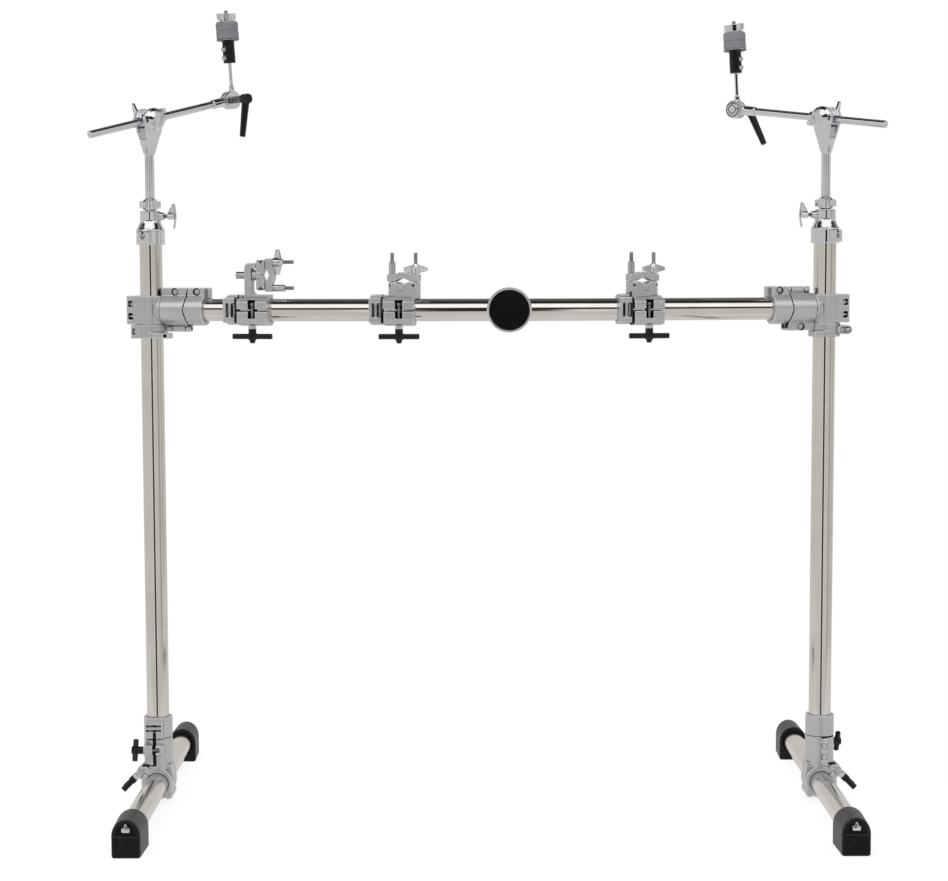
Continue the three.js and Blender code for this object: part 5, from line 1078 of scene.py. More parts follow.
class Loft(Piece):
    """A piece made of rings of points, closed or joined end to end."""

    def build(
        self, rings: np.ndarray, materials: Sequence[str], nodes: Sequence[str] = (), capped: bool = True,
    ) -> bpy.types.Object:
        """Builds the piece from its rings.

        Args:
            rings: Points of the rack by ring and by place round it.
            materials: Keys of its materials.
            nodes: The nodes that it stands for.
            capped: Whether flat ends close it, or else its last ring joins its first.

        Returns:
            The new object.
        """
        count, around, _ = rings.shape
        index = np.arange(count * around).reshape(count, around)
        following = index[1:] if capped else np.roll(index, -1, axis=0)
        base = index[:-1] if capped else index
        quads = np.stack(
            [base, np.roll(base, -1, axis=1), np.roll(following, -1, axis=1), following], axis=-1,
        ).reshape(-1, 4)
        faces = quads.tolist()
        if capped:
            faces += [index[0][::-1].tolist(), index[-1].tolist()]
        mesh = bpy.data.meshes.new(self.name)
        mesh.from_pydata((rings.reshape(-1, 3) * MM).tolist(), [], faces)
        mesh.validate()
        piece = placed(self.name, mesh)
        self.dress(piece, materials)
        self._face_out(mesh)
        self.attach(piece, *nodes)
        return piece

    @staticmethod
    def _face_out(mesh: bpy.types.Mesh) -> None:
        """Turns all faces outward where the mesh encloses a negative volume.

        Args:
            mesh: The mesh.
        """
        mesh.calc_loop_triangles()
        points = values(mesh.vertices, "co", np.float32, 3).astype(float)
        corners = values(mesh.loop_triangles, "vertices", np.int32, 3)
        first, second, third = (points[corners[:, i]] for i in range(3))
        if np.sum(first * np.cross(second, third)) < 0.0:
            mesh.flip_normals()


def circle(sides: int) -> tuple[np.ndarray, np.ndarray]:
    """Returns the sines and cosines of evenly spaced turns.

    Args:
        sides: How many there are.

    Returns:
        The sines and the cosines.
    """
    turns = np.linspace(0.0, 2.0 * math.pi, sides, endpoint=False)
    return np.sin(turns), np.cos(turns)


def revolved(
    profile: Sequence[tuple[float, float]], place: Place, axis: str = "Z", sides: int = 64,
) -> np.ndarray:
    """Turns a profile round an axis.

    Args:
        profile: Pairs of radius and height.
        place: The frame of the axis.
        axis: The axis, Y or Z.
        sides: Points round it.

    Returns:
        Rings of points of the rack.
    """
    sines, cosines = circle(sides)
    radii, heights = np.array(profile, dtype=float).T
    first, second = radii[:, None] * cosines, radii[:, None] * sines
    along = np.repeat(heights[:, None], sides, axis=1)
    order = (first, second, along) if axis == "Z" else (second, along, first)
    return place.to_rack(np.stack(order, axis=-1))


def tube_profile(start: float, end: float, outer: float, inner: float) -> list[tuple[float, float]]:
    """Returns the closed profile of a tube with eased rims.

    Args:
        start: Where it starts.
        end: Where it ends.
        outer: Its outside radius.
        inner: Its inside radius.

    Returns:
        Pairs of radius and height.
    """
    ease = 0.35
    rim = np.array([ease, ease + 0.5, ease + 1.5])
    steps = np.concatenate([start + rim, np.linspace(start + 12.0, end - 12.0, 20), end - rim[::-1]])
    outside = [(outer, float(z)) for z in steps]
    inside = [(inner, float(z)) for z in steps[::-1]]
    rims = [[(inner + ease, start), (outer - ease, start)], [(outer - ease, end), (inner + ease, end)]]
    return [*rims[0], *outside, *rims[1], *inside]


def scaled(points: np.ndarray, axes: Sequence[int], middle: Sequence[float], scale: np.ndarray) -> np.ndarray:
    """Scales points about a line along one of the axes.

    Args:
        points: The points of a piece.
        axes: The two axes across the line.
        middle: The line's place on each of them.
        scale: Each point's scale.

    Returns:
        The changed points.
    """
    changed = points.copy()
    for axis, place in zip(axes, middle):
        changed[:, axis] = place + (points[:, axis] - place) * scale
    return changed


class Group:
    """A maker of one group of the rack's pieces."""

    SLOTS = {"cast": Slot.CAST, "chrome": Slot.CHROME, "plastic": Slot.PLASTIC}

    def __init__(self, finishes: Finishes) -> None:
        """Keeps the materials.

        Args:
            finishes: The rack's materials.
        """
        self.finishes = finishes

    def loft(
        self, name: str, body: str, slot: Slot, rings: np.ndarray, materials: Sequence[str], **ends: object,
    ) -> bpy.types.Object:
        """Builds a piece from rings of points.

        Args:
            name: The piece's name.
            body: The body that it rides on.
            slot: The record's material slot.
            rings: Points of the rack by ring and by place round it.
            materials: Keys of its materials.
            ends: The nodes that it stands for and whether it is capped.

        Returns:
            The new object.
        """
        return Loft(name, body, slot, self.finishes).build(rings, materials, **ends)

    def refine(
        self, prefix: str, names: tuple[str, str, str], place: Place, rounds: Sequence[Round], main: str,
        **look: object,
    ) -> None:
        """Builds a piece from a node of the model.

        Args:
            prefix: How the names of the piece, its body and its node start.
            names: How each of them goes on, or nothing where it ends there.
            place: The frame in which its rounds are given.
            rounds: Its round surfaces.
            main: The key of its main material, which sets its slot.
            look: Its zones, voxel, ease and shape.
        """
        name, body, node = (f"{prefix}_{rest}" if rest else prefix for rest in names)
        Refined(name, body, self.SLOTS[main], self.finishes).build(node, place, rounds, main, **look)


class Tubes(Group):
    """The rack's five long tubes."""

    def build(self) -> None:
        """Builds the feet, the uprights and the cross bar."""
        inner = SIZES.tube_radius - SIZES.tube_wall
        half = SIZES.foot_length / 2.0 - SIZES.boot_end_wall - SIZES.seat_gap
        for side in SIDES:
            name, leg = side.name, RackPlaces.upright(side)
            profile = tube_profile(SIZES.upright_foot, SIZES.upright_top, SIZES.tube_radius, inner)
            self.loft(
                f"{name}_upright_tube", f"{name}_upright", Slot.STAINLESS, revolved(profile, leg),
                ["stainless"], nodes=[f"{name}_upright"], capped=False,
            )
            profile = tube_profile(-half, half, SIZES.tube_radius, inner)
            self.loft(
                f"{name}_foot_rail", f"{name}_foot", Slot.STAINLESS,
                revolved(profile, leg.moved(z=SIZES.foot_axis), "Y"), ["stainless_along"],
                nodes=[f"{name}_foot_tube"], capped=False,
            )
        self._bar(inner)

    def _bar(self, inner: float) -> None:
        """Builds the cross bar as a tube along its arc.

        Args:
            inner: The tube's inside radius.
        """
        sines, cosines = circle(64)
        half = SIZES.bar_half_angle
        angles = np.linspace(-half, half, 90)
        radii = np.repeat([SIZES.tube_radius, inner], len(angles))[:, None]
        turns = np.concatenate([angles, angles[::-1]])[:, None]
        reach = SIZES.arc_radius + radii * cosines
        across, forward = reach * np.sin(turns), SIZES.arc_centre_y - reach * np.cos(turns)
        rings = np.stack([across, forward, SIZES.bar_height + radii * sines], axis=-1)
        self.loft(
            "cross_bar_tube", "bar", Slot.STAINLESS, rings, ["stainless_across"],
            nodes=["curved_bar"], capped=False,
        )


class Boots(Group):
    """The four rubber boots with their soft shoulders and front faces."""

    def build(self) -> None:
        """Builds every boot."""
        for side in SIDES:
            for end, facing in (("front", -1.0), ("back", 1.0)):
                self._boot(side, end, facing)

    def _boot(self, side: Side, end: str, facing: float) -> None:
        """Builds one boot as rings from its mouth round its shell and its face.

        Args:
            side: Its side of the rack.
            end: Its end of the foot.
            facing: The direction that its closed end faces along Y.
        """
        place, length = RackPlaces.upright(side), SIZES.boot_length
        mouth = SIZES.foot_length / 2.0 - length
        # each entry is the distance from the mouth and the outline's inset there
        shell = [(0.0, 2.2), (0.5, 0.9), (1.8, 0.1), (4.0, 0.0)]
        shell += [(float(y), 0.0) for y in np.linspace(8.0, length - 7.0, 12)]
        shell += [(length - 4.5, 0.15), (length - 2.2, 0.7), (length - 0.7, 1.9), (length, 3.4)]
        rings = [self._arch(inset, y / length) for y, inset in shell]
        order = np.arctan2(rings[0][:, 1] - SIZES.foot_axis, rings[0][:, 0])
        socket = np.stack([np.cos(order), np.sin(order)], axis=1)
        middle = np.array([0.0, SIZES.foot_axis])
        sockets = [socket * (SIZES.bore_radius + flare) + middle for flare in (0.0, 0.0, 0.8)]
        places = [length - SIZES.boot_end_wall, 1.0, 0.0, *(y for y, _ in shell)]
        outline = rings[-1]
        upper = outline[:, 1] > SIZES.foot_axis - 0.1
        flat = [(ring, np.full(len(ring), depth)) for ring, depth in zip([*sockets, *rings], places)]
        # each entry is a share of the outline with its depths above and below the ledge
        face = [(0.93, 0.4, 0.0), (0.90, 3.4, 0.2), *((share, 3.6, 0.3) for share in (0.82, 0.5, 0.12, 0.01))]
        for share, recess, lower in face:
            flat.append((middle + (outline - middle) * share, length - np.where(upper, recess, lower)))
        points = np.stack(
            [np.stack([ring[:, 0], facing * (mouth + depth), ring[:, 1]], axis=1) for ring, depth in flat],
        )
        piece = self.loft(
            f"{side.name}_{end}_rubber_boot", f"{side.name}_foot", Slot.RUBBER, place.to_rack(points),
            ["rubber", "rubber_face"], nodes=[f"{side.name}_{end}_boot"],
        )
        self._dark_face_and_shaded_mouth(piece, facing)
        self._stud(side, end, facing)

    @staticmethod
    def _arch(inset: float, share: float) -> np.ndarray:
        """Returns one ring of the boot: flat below with round corners, an arch above.

        Args:
            inset: How far the ring lies inside the outline.
            share: The share of the boot's length from its mouth.

        Returns:
            Points of the ring as X and Z.
        """
        half = SIZES.boot_mouth_half + (SIZES.boot_end_half - SIZES.boot_mouth_half) * share - inset
        foot, top, corner, axis = inset * 0.8, SIZES.boot_height - inset, SIZES.boot_corner, SIZES.foot_axis

        def bend(place: float, start: float) -> np.ndarray:
            """Returns the points of one round corner."""
            turn = np.linspace(start, start + 0.5 * math.pi, 6)[1:]
            return np.stack([place + corner * np.cos(turn), foot + corner + corner * np.sin(turn)], axis=1)

        rise = np.linspace(0.0, math.pi, 33)
        arch = np.stack([half * np.cos(rise), axis + (top - axis) * np.sin(rise)], axis=1)
        down = np.concatenate([[axis - 0.7], np.linspace(axis, foot + corner, 8)[1:]])
        left = np.stack([np.full(len(down), -half), down], axis=1)
        sole_x = np.linspace(-half + corner, half - corner, 12)[1:]
        sole = np.stack([sole_x, np.full(len(sole_x), foot)], axis=1)
        right = np.stack([np.full(len(down) - 1, half), down[::-1][1:]], axis=1)
        corners = bend(-half + corner, math.pi), bend(half - corner, 1.5 * math.pi)
        return np.concatenate([arch, left, corners[0], sole, corners[1], right])

    @staticmethod
    def _dark_face_and_shaded_mouth(piece: bpy.types.Object, facing: float) -> None:
        """Gives the recessed end face its darker, smoother rubber, and paints shade on the mouth with the
        same rubber.

        Args:
            piece: The boot.
            facing: The direction that its closed end faces along Y.
        """
        face_depth, mouth_depth, half = 4.5, 2.0, SIZES.foot_length / 2.0
        faces = piece.data.polygons
        place, slope = (values(faces, name, np.float32, 3)[:, 1] * facing for name in ("center", "normal"))
        face = (place > (half - face_depth) * MM) & (slope > 0.5)
        # The mouth's face round the tube gets painted shade.
        mouth = (place < (half - SIZES.boot_length + mouth_depth) * MM) & (slope < -0.4)
        faces.foreach_set("material_index", (face | mouth).astype(np.int32))

    def _stud(self, side: Side, end: str, facing: float) -> None:
        """Builds the bright spiked stud on the boot's face: its outline drawn out along Y.

        Args:
            side: The boot's side of the rack.
            end: Its end of the foot.
            facing: The direction that its closed end faces along Y.
        """
        place = RackPlaces.upright(side).moved(z=SIZES.stud_height)
        face = facing * SIZES.foot_length / 2.0
        half = [(-1.2, 8.8), (-2.3, 7.4), (-2.8, 3.3), (-6.4, 2.6), (-7.0, -1.2)]
        outline = np.array([(-6.2, -5.0), (6.2, -5.0), *((-x, z) for x, z in half[::-1]), *half])
        rings = []
        for depth, share in ((5.0, 1.0), (1.6, 1.0), (0.9, 0.93), (0.6, 0.80)):
            across, up = (outline * share).T
            rings.append(np.stack([across, np.full(len(across), face - facing * depth), up], axis=1))
        self.loft(
            f"{side.name}_{end}_boot_stud", f"{side.name}_foot", Slot.CHROME, place.to_rack(np.stack(rings)),
            ["bolt"],
        )


class Badge(Group):
    """The plain round badge: black enamel in a bright ring, on a saddle."""

    def build(self) -> None:
        """Builds the disc, its ring and its saddle."""
        place = RackPlaces.bar(SIZES.badge_place)
        radius, rim = SIZES.badge_radius, SIZES.badge_rim
        back, front = -SIZES.badge_back, -SIZES.badge_front
        inner = radius - rim
        disc = [(0.3, back), (inner - 1.0, back), (inner, back - 1.0), (inner, front + 1.6)]
        disc += [(inner - 0.3, front + 1.1), (inner - 0.8, front + 1.0), (inner - 1.6, front + 1.0)]
        disc += [(inner * 0.6, front + 1.0), (0.3, front + 1.0)]
        plate = revolved(disc, place, "Y", 96)
        self.loft("badge_plate", "bar", Slot.ENAMEL, plate, ["enamel"], nodes=["bar_badge"])
        ring = [(inner + 0.05, back), (radius - 0.8, back), (radius, back - 0.8), (radius, front + 1.6)]
        ring += [(radius - 0.5, front + 0.5), (radius - 1.4, front), (inner + 1.2, front)]
        ring += [(inner + 0.4, front + 0.4), (inner + 0.05, front + 1.4)]
        self.loft("badge_ring", "bar", Slot.CHROME, revolved(ring, place, "Y", 96), ["chrome"], capped=False)
        self._saddle(place)

    def _saddle(self, place: Place) -> None:
        """Builds the saddle between the badge and the bar.

        Args:
            place: The frame on the bar behind the badge.
        """
        half = 15.0
        across = np.linspace(-half, half, 24)
        contact = -np.sqrt((SIZES.tube_radius + SIZES.seat_gap) ** 2 - across**2)
        front = np.full(len(across), -SIZES.badge_back - 0.2)
        inside, outside = (np.stack([depth, across], axis=1) for depth in (contact, front))
        section = np.concatenate([inside, outside[::-1]])
        stations = np.linspace(-half, half, 12)
        rings = [np.concatenate([np.full((len(section), 1), x), section], axis=1) for x in stations]
        self.loft("badge_saddle", "bar", Slot.ENAMEL, place.to_rack(np.stack(rings)), ["plastic"])


class Legs(Group):
    """The two leg clamps on their feet."""

    @staticmethod
    def saddle_point(reach: float, drop: float, y: float = 0.0) -> Point:
        """Returns a point of the saddle by its reach along the split and its drop across it.

        Args:
            reach: Distance from the foot's axis along the split.
            drop: Distance across the split.
            y: Distance along the foot.

        Returns:
            The point in the leg's frame.
        """
        return (-DIAGONAL * (reach + drop), y, SIZES.foot_axis + DIAGONAL * (reach - drop))

    def build(self) -> None:
        """Builds both legs."""
        for side in SIDES:
            self._leg(side)

    def _leg(self, side: Side) -> None:
        """Builds one leg's castings and bolts.

        Args:
            side: The leg's side.
        """
        name, place, at = side.name, RackPlaces.leg(side), self.saddle_point
        foot, top, door_foot, door_top = LEG.foot, LEG.top, LEG.door_foot, LEG.door_top
        axis, half = SIZES.foot_axis, LEG.saddle_half
        sleeve = Round((0, 0, foot), (0, 0, top), LEG.radius)
        saddle = Round((0, -half, axis), (0, half, axis), LEG.saddle_radius)
        bore, foot_bore = (replace(outside, radius=SIZES.bore_radius) for outside in (sleeve, saddle))
        knuckles = small((-5.4, 29.5, door_foot), (-5.4, 29.5, door_top), 4.6)
        ears = small(at(-27, 0, -half), at(-27, 0, half), 7.4)
        lug = small(at(LEG.lug, -2, -half), at(LEG.lug, -2, half), 7.5)
        key = small((-19, -23.5, LEG.key), (10, -23.5, LEG.key), 2.6)
        self.refine(
            name, ("leg_casting", "leg", "leg_clamp"), place,
            [sleeve, bore, saddle, foot_bore, knuckles, ears, lug, key], "cast", voxel=1.15,
            # Painted shade on the partings, in the front slot and inside the bore; steel on the key bolt.
            zones=[
                painted_seam_shade((-26, -30, 64), (-4, 30, 70), UP), painted_seam_shade((-26, -30, 111), (26, 30, 116.5), UP),
                painted_seam_shade((-6.4, -22.6, 66), (-0.2, -19.0, 152)), painted_seam_shade((-30, -30, 113.9), (30, 30, 115.6)),
                painted_seam_shade((-7, -34, 66), (0.6, -19, 152), ACROSS), painted_seam_shade((-30, -26, 4), (-14, 26, 36), (1, 0, 1)),
                Zone("bolt", key, 0.25), Zone("dark", Round((0, 0, 60), (0, 0, 152), 19.3), 0.3),
            ],
            shape=lambda points: carved(points, (-6.0, -40.0, 66.5), (-0.6, -19.0, 126.0), -20.8),
        )
        self.refine(
            name, ("leg_door_casting", "leg_door", "leg_door"), place,
            [sleeve, bore, knuckles], "cast",
            # Painted shade on the door's partings.
            zones=[
                painted_seam_shade((-26, -34, 66), (-4, 34, 68.5), UP), painted_seam_shade((-26, -34, 112), (-4, 34, 114.5), UP),
                painted_seam_shade((-8, -40, 66), (-4, 34, 115), ACROSS), painted_seam_shade((-30, -30, 66.0), (0, 30, 68.4)),
            ],
        )
        self.refine(
            name, ("foot_jaw_casting", "foot_jaw", "foot_jaw"), place, [saddle, foot_bore, ears], "cast",
        )
        front, level = -LEG.bolt_front, LEG.bolt
        shaft = small((-22, front, level), (5.7, front, level), 3.2)
        hub = small((-42.4, front, level), (-22.4, front, level), 6.6)
        grip = small((-35.8, -36, level - 17), (-35.8, -19, level + 17), 3.6)
        self.refine(
            name, ("leg_t_handle", "leg_t_bolt", "leg_t_bolt"), place,
            [shaft, hub, grip], "plastic", zones=[Zone("steel", shaft)], voxel=0.72, ease=4,
            shape=lambda points: swollen(points, grip, GRIP_SWELL),
        )
        shaft = small(at(LEG.lug, -2), at(LEG.lug, 17), 3.4)
        nut = small(at(LEG.lug, 17.8), at(LEG.lug, 34.8), 6.5)
        collar = small(at(LEG.lug, 17.6), at(LEG.lug, 24.0), 6.5)
        self.refine(
            name, ("foot_wing_handle", "foot_wing_bolt", "foot_wing_bolt"), place,
            [shaft, nut], "plastic", zones=[Zone("steel", shaft, 2.2), Zone("chrome", collar, 0.8)],
            voxel=0.72, ease=4, shape=self._thick_wing,
        )

    @staticmethod
    def _thick_wing(points: np.ndarray) -> np.ndarray:
        """Thickens the wings of a foot's nut across their plate.

        Args:
            points: The points of the swing bolt and its nut.

        Returns:
            The changed points.
        """
        nut_start, nut_end, nut_radius, thicker = 18.5, 35.2, 6.6, 0.8
        reach = DIAGONAL * (points[:, 2] - SIZES.foot_axis - points[:, 0])
        drop = -DIAGONAL * (points[:, 2] - SIZES.foot_axis + points[:, 0])
        wing = (drop > nut_start) & ((np.abs(points[:, 1]) > nut_radius) | (drop > nut_end))
        step = np.where(wing, thicker * (reach - LEG.lug), 0.0)
        return points + DIAGONAL * np.outer(step, (-1.0, 0.0, 1.0))


class Crossings(Group):
    """The T-clamps, their bar caps and the lock rings."""

    def build(self) -> None:
        """Builds both crossings."""
        for side in SIDES:
            self._crossing(side)

    def _crossing(self, side: Side) -> None:
        """Builds one crossing.

        Args:
            side: Its side of the rack.
        """
        name, place = side.name, RackPlaces.crossing(side)
        half, radius = CROSSING.half_height, CROSSING.radius
        lift = CROSSING.bolt_lift * (-1.0 if side.flip else 1.0)
        upright = Round((0, 0, -half), (0, 0, half), radius)
        bore = replace(upright, radius=SIZES.bore_radius)
        branch = Round((20, 0, 0), (23, 0, 0), 24.0)
        sleeve = Round((23.6, 0, 0), (98.5, 0, 0), radius)
        bar_bore = Round((22, 0, 0), (105, 0, 0), CROSSING.bar_bore)
        hinge = small((27.5, 0, -32.4), (73, 0, -32.4), 4.8)
        lock_bolt, lock_well = self._bolt(86, lift)
        slots = (-10.5, 10.5)
        slot_bolts = [small((-28, -21, rise), (-28, -15.2, rise), 3.4) for rise in slots]
        # Painted shade on the cap's parting, in the well round the lock bolt and in the slots by the side
        # bolts.
        zones = [painted_seam_shade((24.5, -32, -34), (80, 32, 34), ACROSS), Zone("dark", lock_well, 0.5)]
        zones += [painted_seam_shade((-33.5, -23.2, rise - 6), (-22.5, -12, rise + 6)) for rise in slots]
        zones += zoned("bolt", [*slot_bolts, lock_bolt], 0.2)
        self.refine(
            name, ("t_casting", "crossing", "t_clamp"), place,
            [upright, bore, branch, sleeve, bar_bore, hinge, lock_bolt, lock_well, *slot_bolts], "cast",
            zones=zones, voxel=1.15,
        )
        cap_bolt, cap_well = self._bolt(47, CROSSING.bolt_lift)
        self.refine(
            name, ("t_cap_casting", "t_cap", "t_clamp_cap"), place,
            [sleeve, bar_bore, hinge, cap_bolt, cap_well], "cast",
            # Painted shade on the parting and in the well round the cap's bolt.
            zones=[
                painted_seam_shade((20, -34, -40), (82, 34, 34), ACROSS),
                Zone("dark", cap_well, 0.5), Zone("bolt", cap_bolt, 0.2),
            ],
        )
        ring_half = CROSSING.ring_half
        ring_place = RackPlaces.crossing(side, half + CROSSING.ring_gap + ring_half)
        ring = Round((0, 0, -ring_half), (0, 0, ring_half), radius)
        ring_bore = replace(ring, radius=SIZES.bore_radius)
        keys = [small((x, -28, 0), (x, -23, 0), 3.4) for x in (-32.0, -21.0)] if side.flip else []
        self.refine(
            name, ("lock_ring", "lock", "upright_lock"), ring_place,
            [ring, ring_bore, *keys], "cast",
            # Painted shade on the parting above the ring.
            zones=[painted_seam_shade((-40, -40, 10.6), (60, 40, 13.0), UP), *zoned("bolt", keys, 0.2)],
        )

    @staticmethod
    def _bolt(place: float, lift: float) -> tuple[Round, Round]:
        """Returns a key bolt of the branch and the well round it.

        Args:
            place: Its place along the branch.
            lift: Its height.

        Returns:
            The two rounds.
        """
        bolt = small((place, -10.5, lift), (place, -4.4, lift), 4.2)
        return bolt, small((place, -13, lift), (place, -5, lift), 6.0)


class RackClamps(Group):
    """The three clamps on the cross bar with their V-clamps."""

    def build(self) -> None:
        """Builds every clamp."""
        for clamp in CLAMPS:
            self._jaws(clamp)
            self._v_clamp(clamp)

    def _jaws(self, clamp: RackClamp) -> None:
        """Builds the body, the lower jaw and the T-bolt.

        Args:
            clamp: The clamp.
        """
        name, place = f"rack_clamp_{clamp.number}", RackPlaces.bar(clamp.place)
        lock = Round((-27.5, 0, 0), (-50, 0, 0), 25.0)
        bore = Round((-50, 0, 0), (25.5, 0, 0), CROSSING.bar_bore)
        hinge = small((-25.5, 28.9, 0), (25.5, 28.9, 0), 5.0)
        key = small((-38.5, -31, -13), (-38.5, -31, 13), 2.6)
        # Painted shade in the slot that the T-bolt runs in.
        slot = painted_seam_shade((-6.8, -36.2, -15), (6.8, -21, 17.4))
        rounds = [lock, bore, hinge, key]
        # Painted shade on the partings, in the bolt's slot and in the square well by the key.
        zones = [
            painted_seam_shade((-27, -40, -1.5), (27, 40, 1.5), UP), painted_seam_shade((-29.5, -40, -30), (-25.5, 40, 30), ACROSS),
            painted_seam_shade((-27, -40, -1.7), (27, -20, 1.7)), painted_seam_shade((-29.9, -40, -30), (-27.2, -10, 30)), slot,
            painted_seam_shade((-43.0, -40, -9), (-34.0, -24, 9)), Zone("bolt", key, 0.25),
        ]
        if not clamp.angled:
            v_place = RackPlaces.v_clamp(clamp)
            studs = self._studs(v_place, place)
            rounds += studs
            # Steel on the studs and painted shade in the pin holes.
            zones += zoned("steel", studs, 0.25) + zoned("dark", self._pins(v_place, place), 0.0)
        self.refine(
            name, ("casting", "", "body"), place, rounds, "cast", zones=zones, voxel=0.95, ease=2,
        )
        # Painted shade on the jaw's partings and in the slot.
        zones = [
            painted_seam_shade((-27, -40, -2.0), (27, 25, 1.5), UP), painted_seam_shade((-29.5, -40, -34), (-25, 40, 2), ACROSS), slot,
        ]
        self.refine(
            name, ("jaw_casting", "lower_jaw", "lower_jaw"), place, [bore, hinge], "cast",
            zones=zones, voxel=0.95, ease=2,
        )
        front = -CLAMP_BOLT_FRONT
        shaft = small((0, front, -25.3), (0, front, 12.5), 3.4)
        hub = small((0, front, -47.1), (0, front, -25.3), 6.6)
        tip = small((0, front, -47.1), (0, front, -55), 6.6, 3.6)
        grip = small((-34, front, -43.5), (34, front, -43.5), 3.6)
        self.refine(
            name, ("t_handle", "t_bolt", "t_bolt"), place, [shaft, hub, tip, grip], "plastic",
            zones=[
                Zone("steel", small((0, front, -24.6), (0, front, 12.5), 5.0)),
                Zone("chrome", small((0, front, -30.5), (0, front, -25.2), 6.6)),
            ],
            voxel=0.72, ease=5, shape=lambda points: swollen(points, grip, GRIP_SWELL),
        )

    @staticmethod
    def _carried(
        v_place: Place, place: Place, low: Point, high: Point, radius: float, sides: int,
    ) -> list[Round]:
        """Returns two like rounds of a V-clamp, one at each stud, in another frame.

        Args:
            v_place: The V-clamp's frame.
            place: The other frame.
            low: Where a round starts, with the stud at X zero.
            high: Where it ends.
            radius: Its radius.
            sides: The sides of its facets.

        Returns:
            The two rounds.
        """
        rounds = []
        for end in (-SIZES.stud_spacing, SIZES.stud_spacing):
            ends = np.array([low, high]) + [end, 0.0, 0.0]
            foot, top = place.from_rack(v_place.to_rack(ends))
            rounds.append(Round(tuple(foot), tuple(top), radius, None, sides))
        return rounds

    @staticmethod
    def _pins(v_place: Place, place: Place) -> list[Round]:
        """Returns the pin holes in the front of a V base in another frame."""
        return RackClamps._carried(v_place, place, (0, -30.0, -6.0), (0, -4.0, -6.0), 2.1, 16)

    @staticmethod
    def _studs(v_place: Place, place: Place) -> list[Round]:
        """Returns a V-clamp's two studs in another frame."""
        return RackClamps._carried(v_place, place, (0, 0, 0.2), (0, 0, 48.5), 3.1, 8)

    def _v_clamp(self, clamp: RackClamp) -> None:
        """Builds the V-jaw, the wing nut and, on the angled clamp, the base.

        Args:
            clamp: The clamp.
        """
        name, place = f"rack_clamp_{clamp.number}", RackPlaces.v_clamp(clamp)
        wing_side = -1.0 if clamp.angled else 1.0
        if clamp.angled:
            boss = small((0, 0, -23), (0, 0, -14), 9.0)
            head = small((0, 0, -34.3), (0, 0, -51.3), 6.0)
            studs = self._studs(place, place)
            zones = [*zoned("steel", studs, 0.25), Zone("bolt", head, 0.4)]
            # Painted shade in the pin holes of the base.
            zones += zoned("dark", self._pins(place, place), 0.0)
            self.refine(
                name, ("v_base_casting", "v_base", "v_base"), place,
                [boss, head, *studs], "cast", zones=zones, voxel=0.8,
            )
        nut_x = -wing_side * SIZES.stud_spacing
        key_nut = small((nut_x, 0, 12.5), (nut_x, 0, 33.5), 5.8)
        self.refine(
            name, ("v_jaw_casting", "v_jaw", "v_jaw"), place, [key_nut], "cast",
            zones=[Zone("bolt", key_nut, 0.3)], voxel=0.8,
        )
        nut_place = place.moved(wing_side * SIZES.stud_spacing, 0.0, 12.8)
        hub, neck = small((0, 0, 0), (0, 0, 11), 6.8), small((0, 0, 11), (0, 0, 18), 6.8, 3.9)
        self.refine(
            name, ("wing", "wing_nut", "wing_nut"), nut_place, [hub, neck], "chrome",
            voxel=0.66, ease=5,
        )


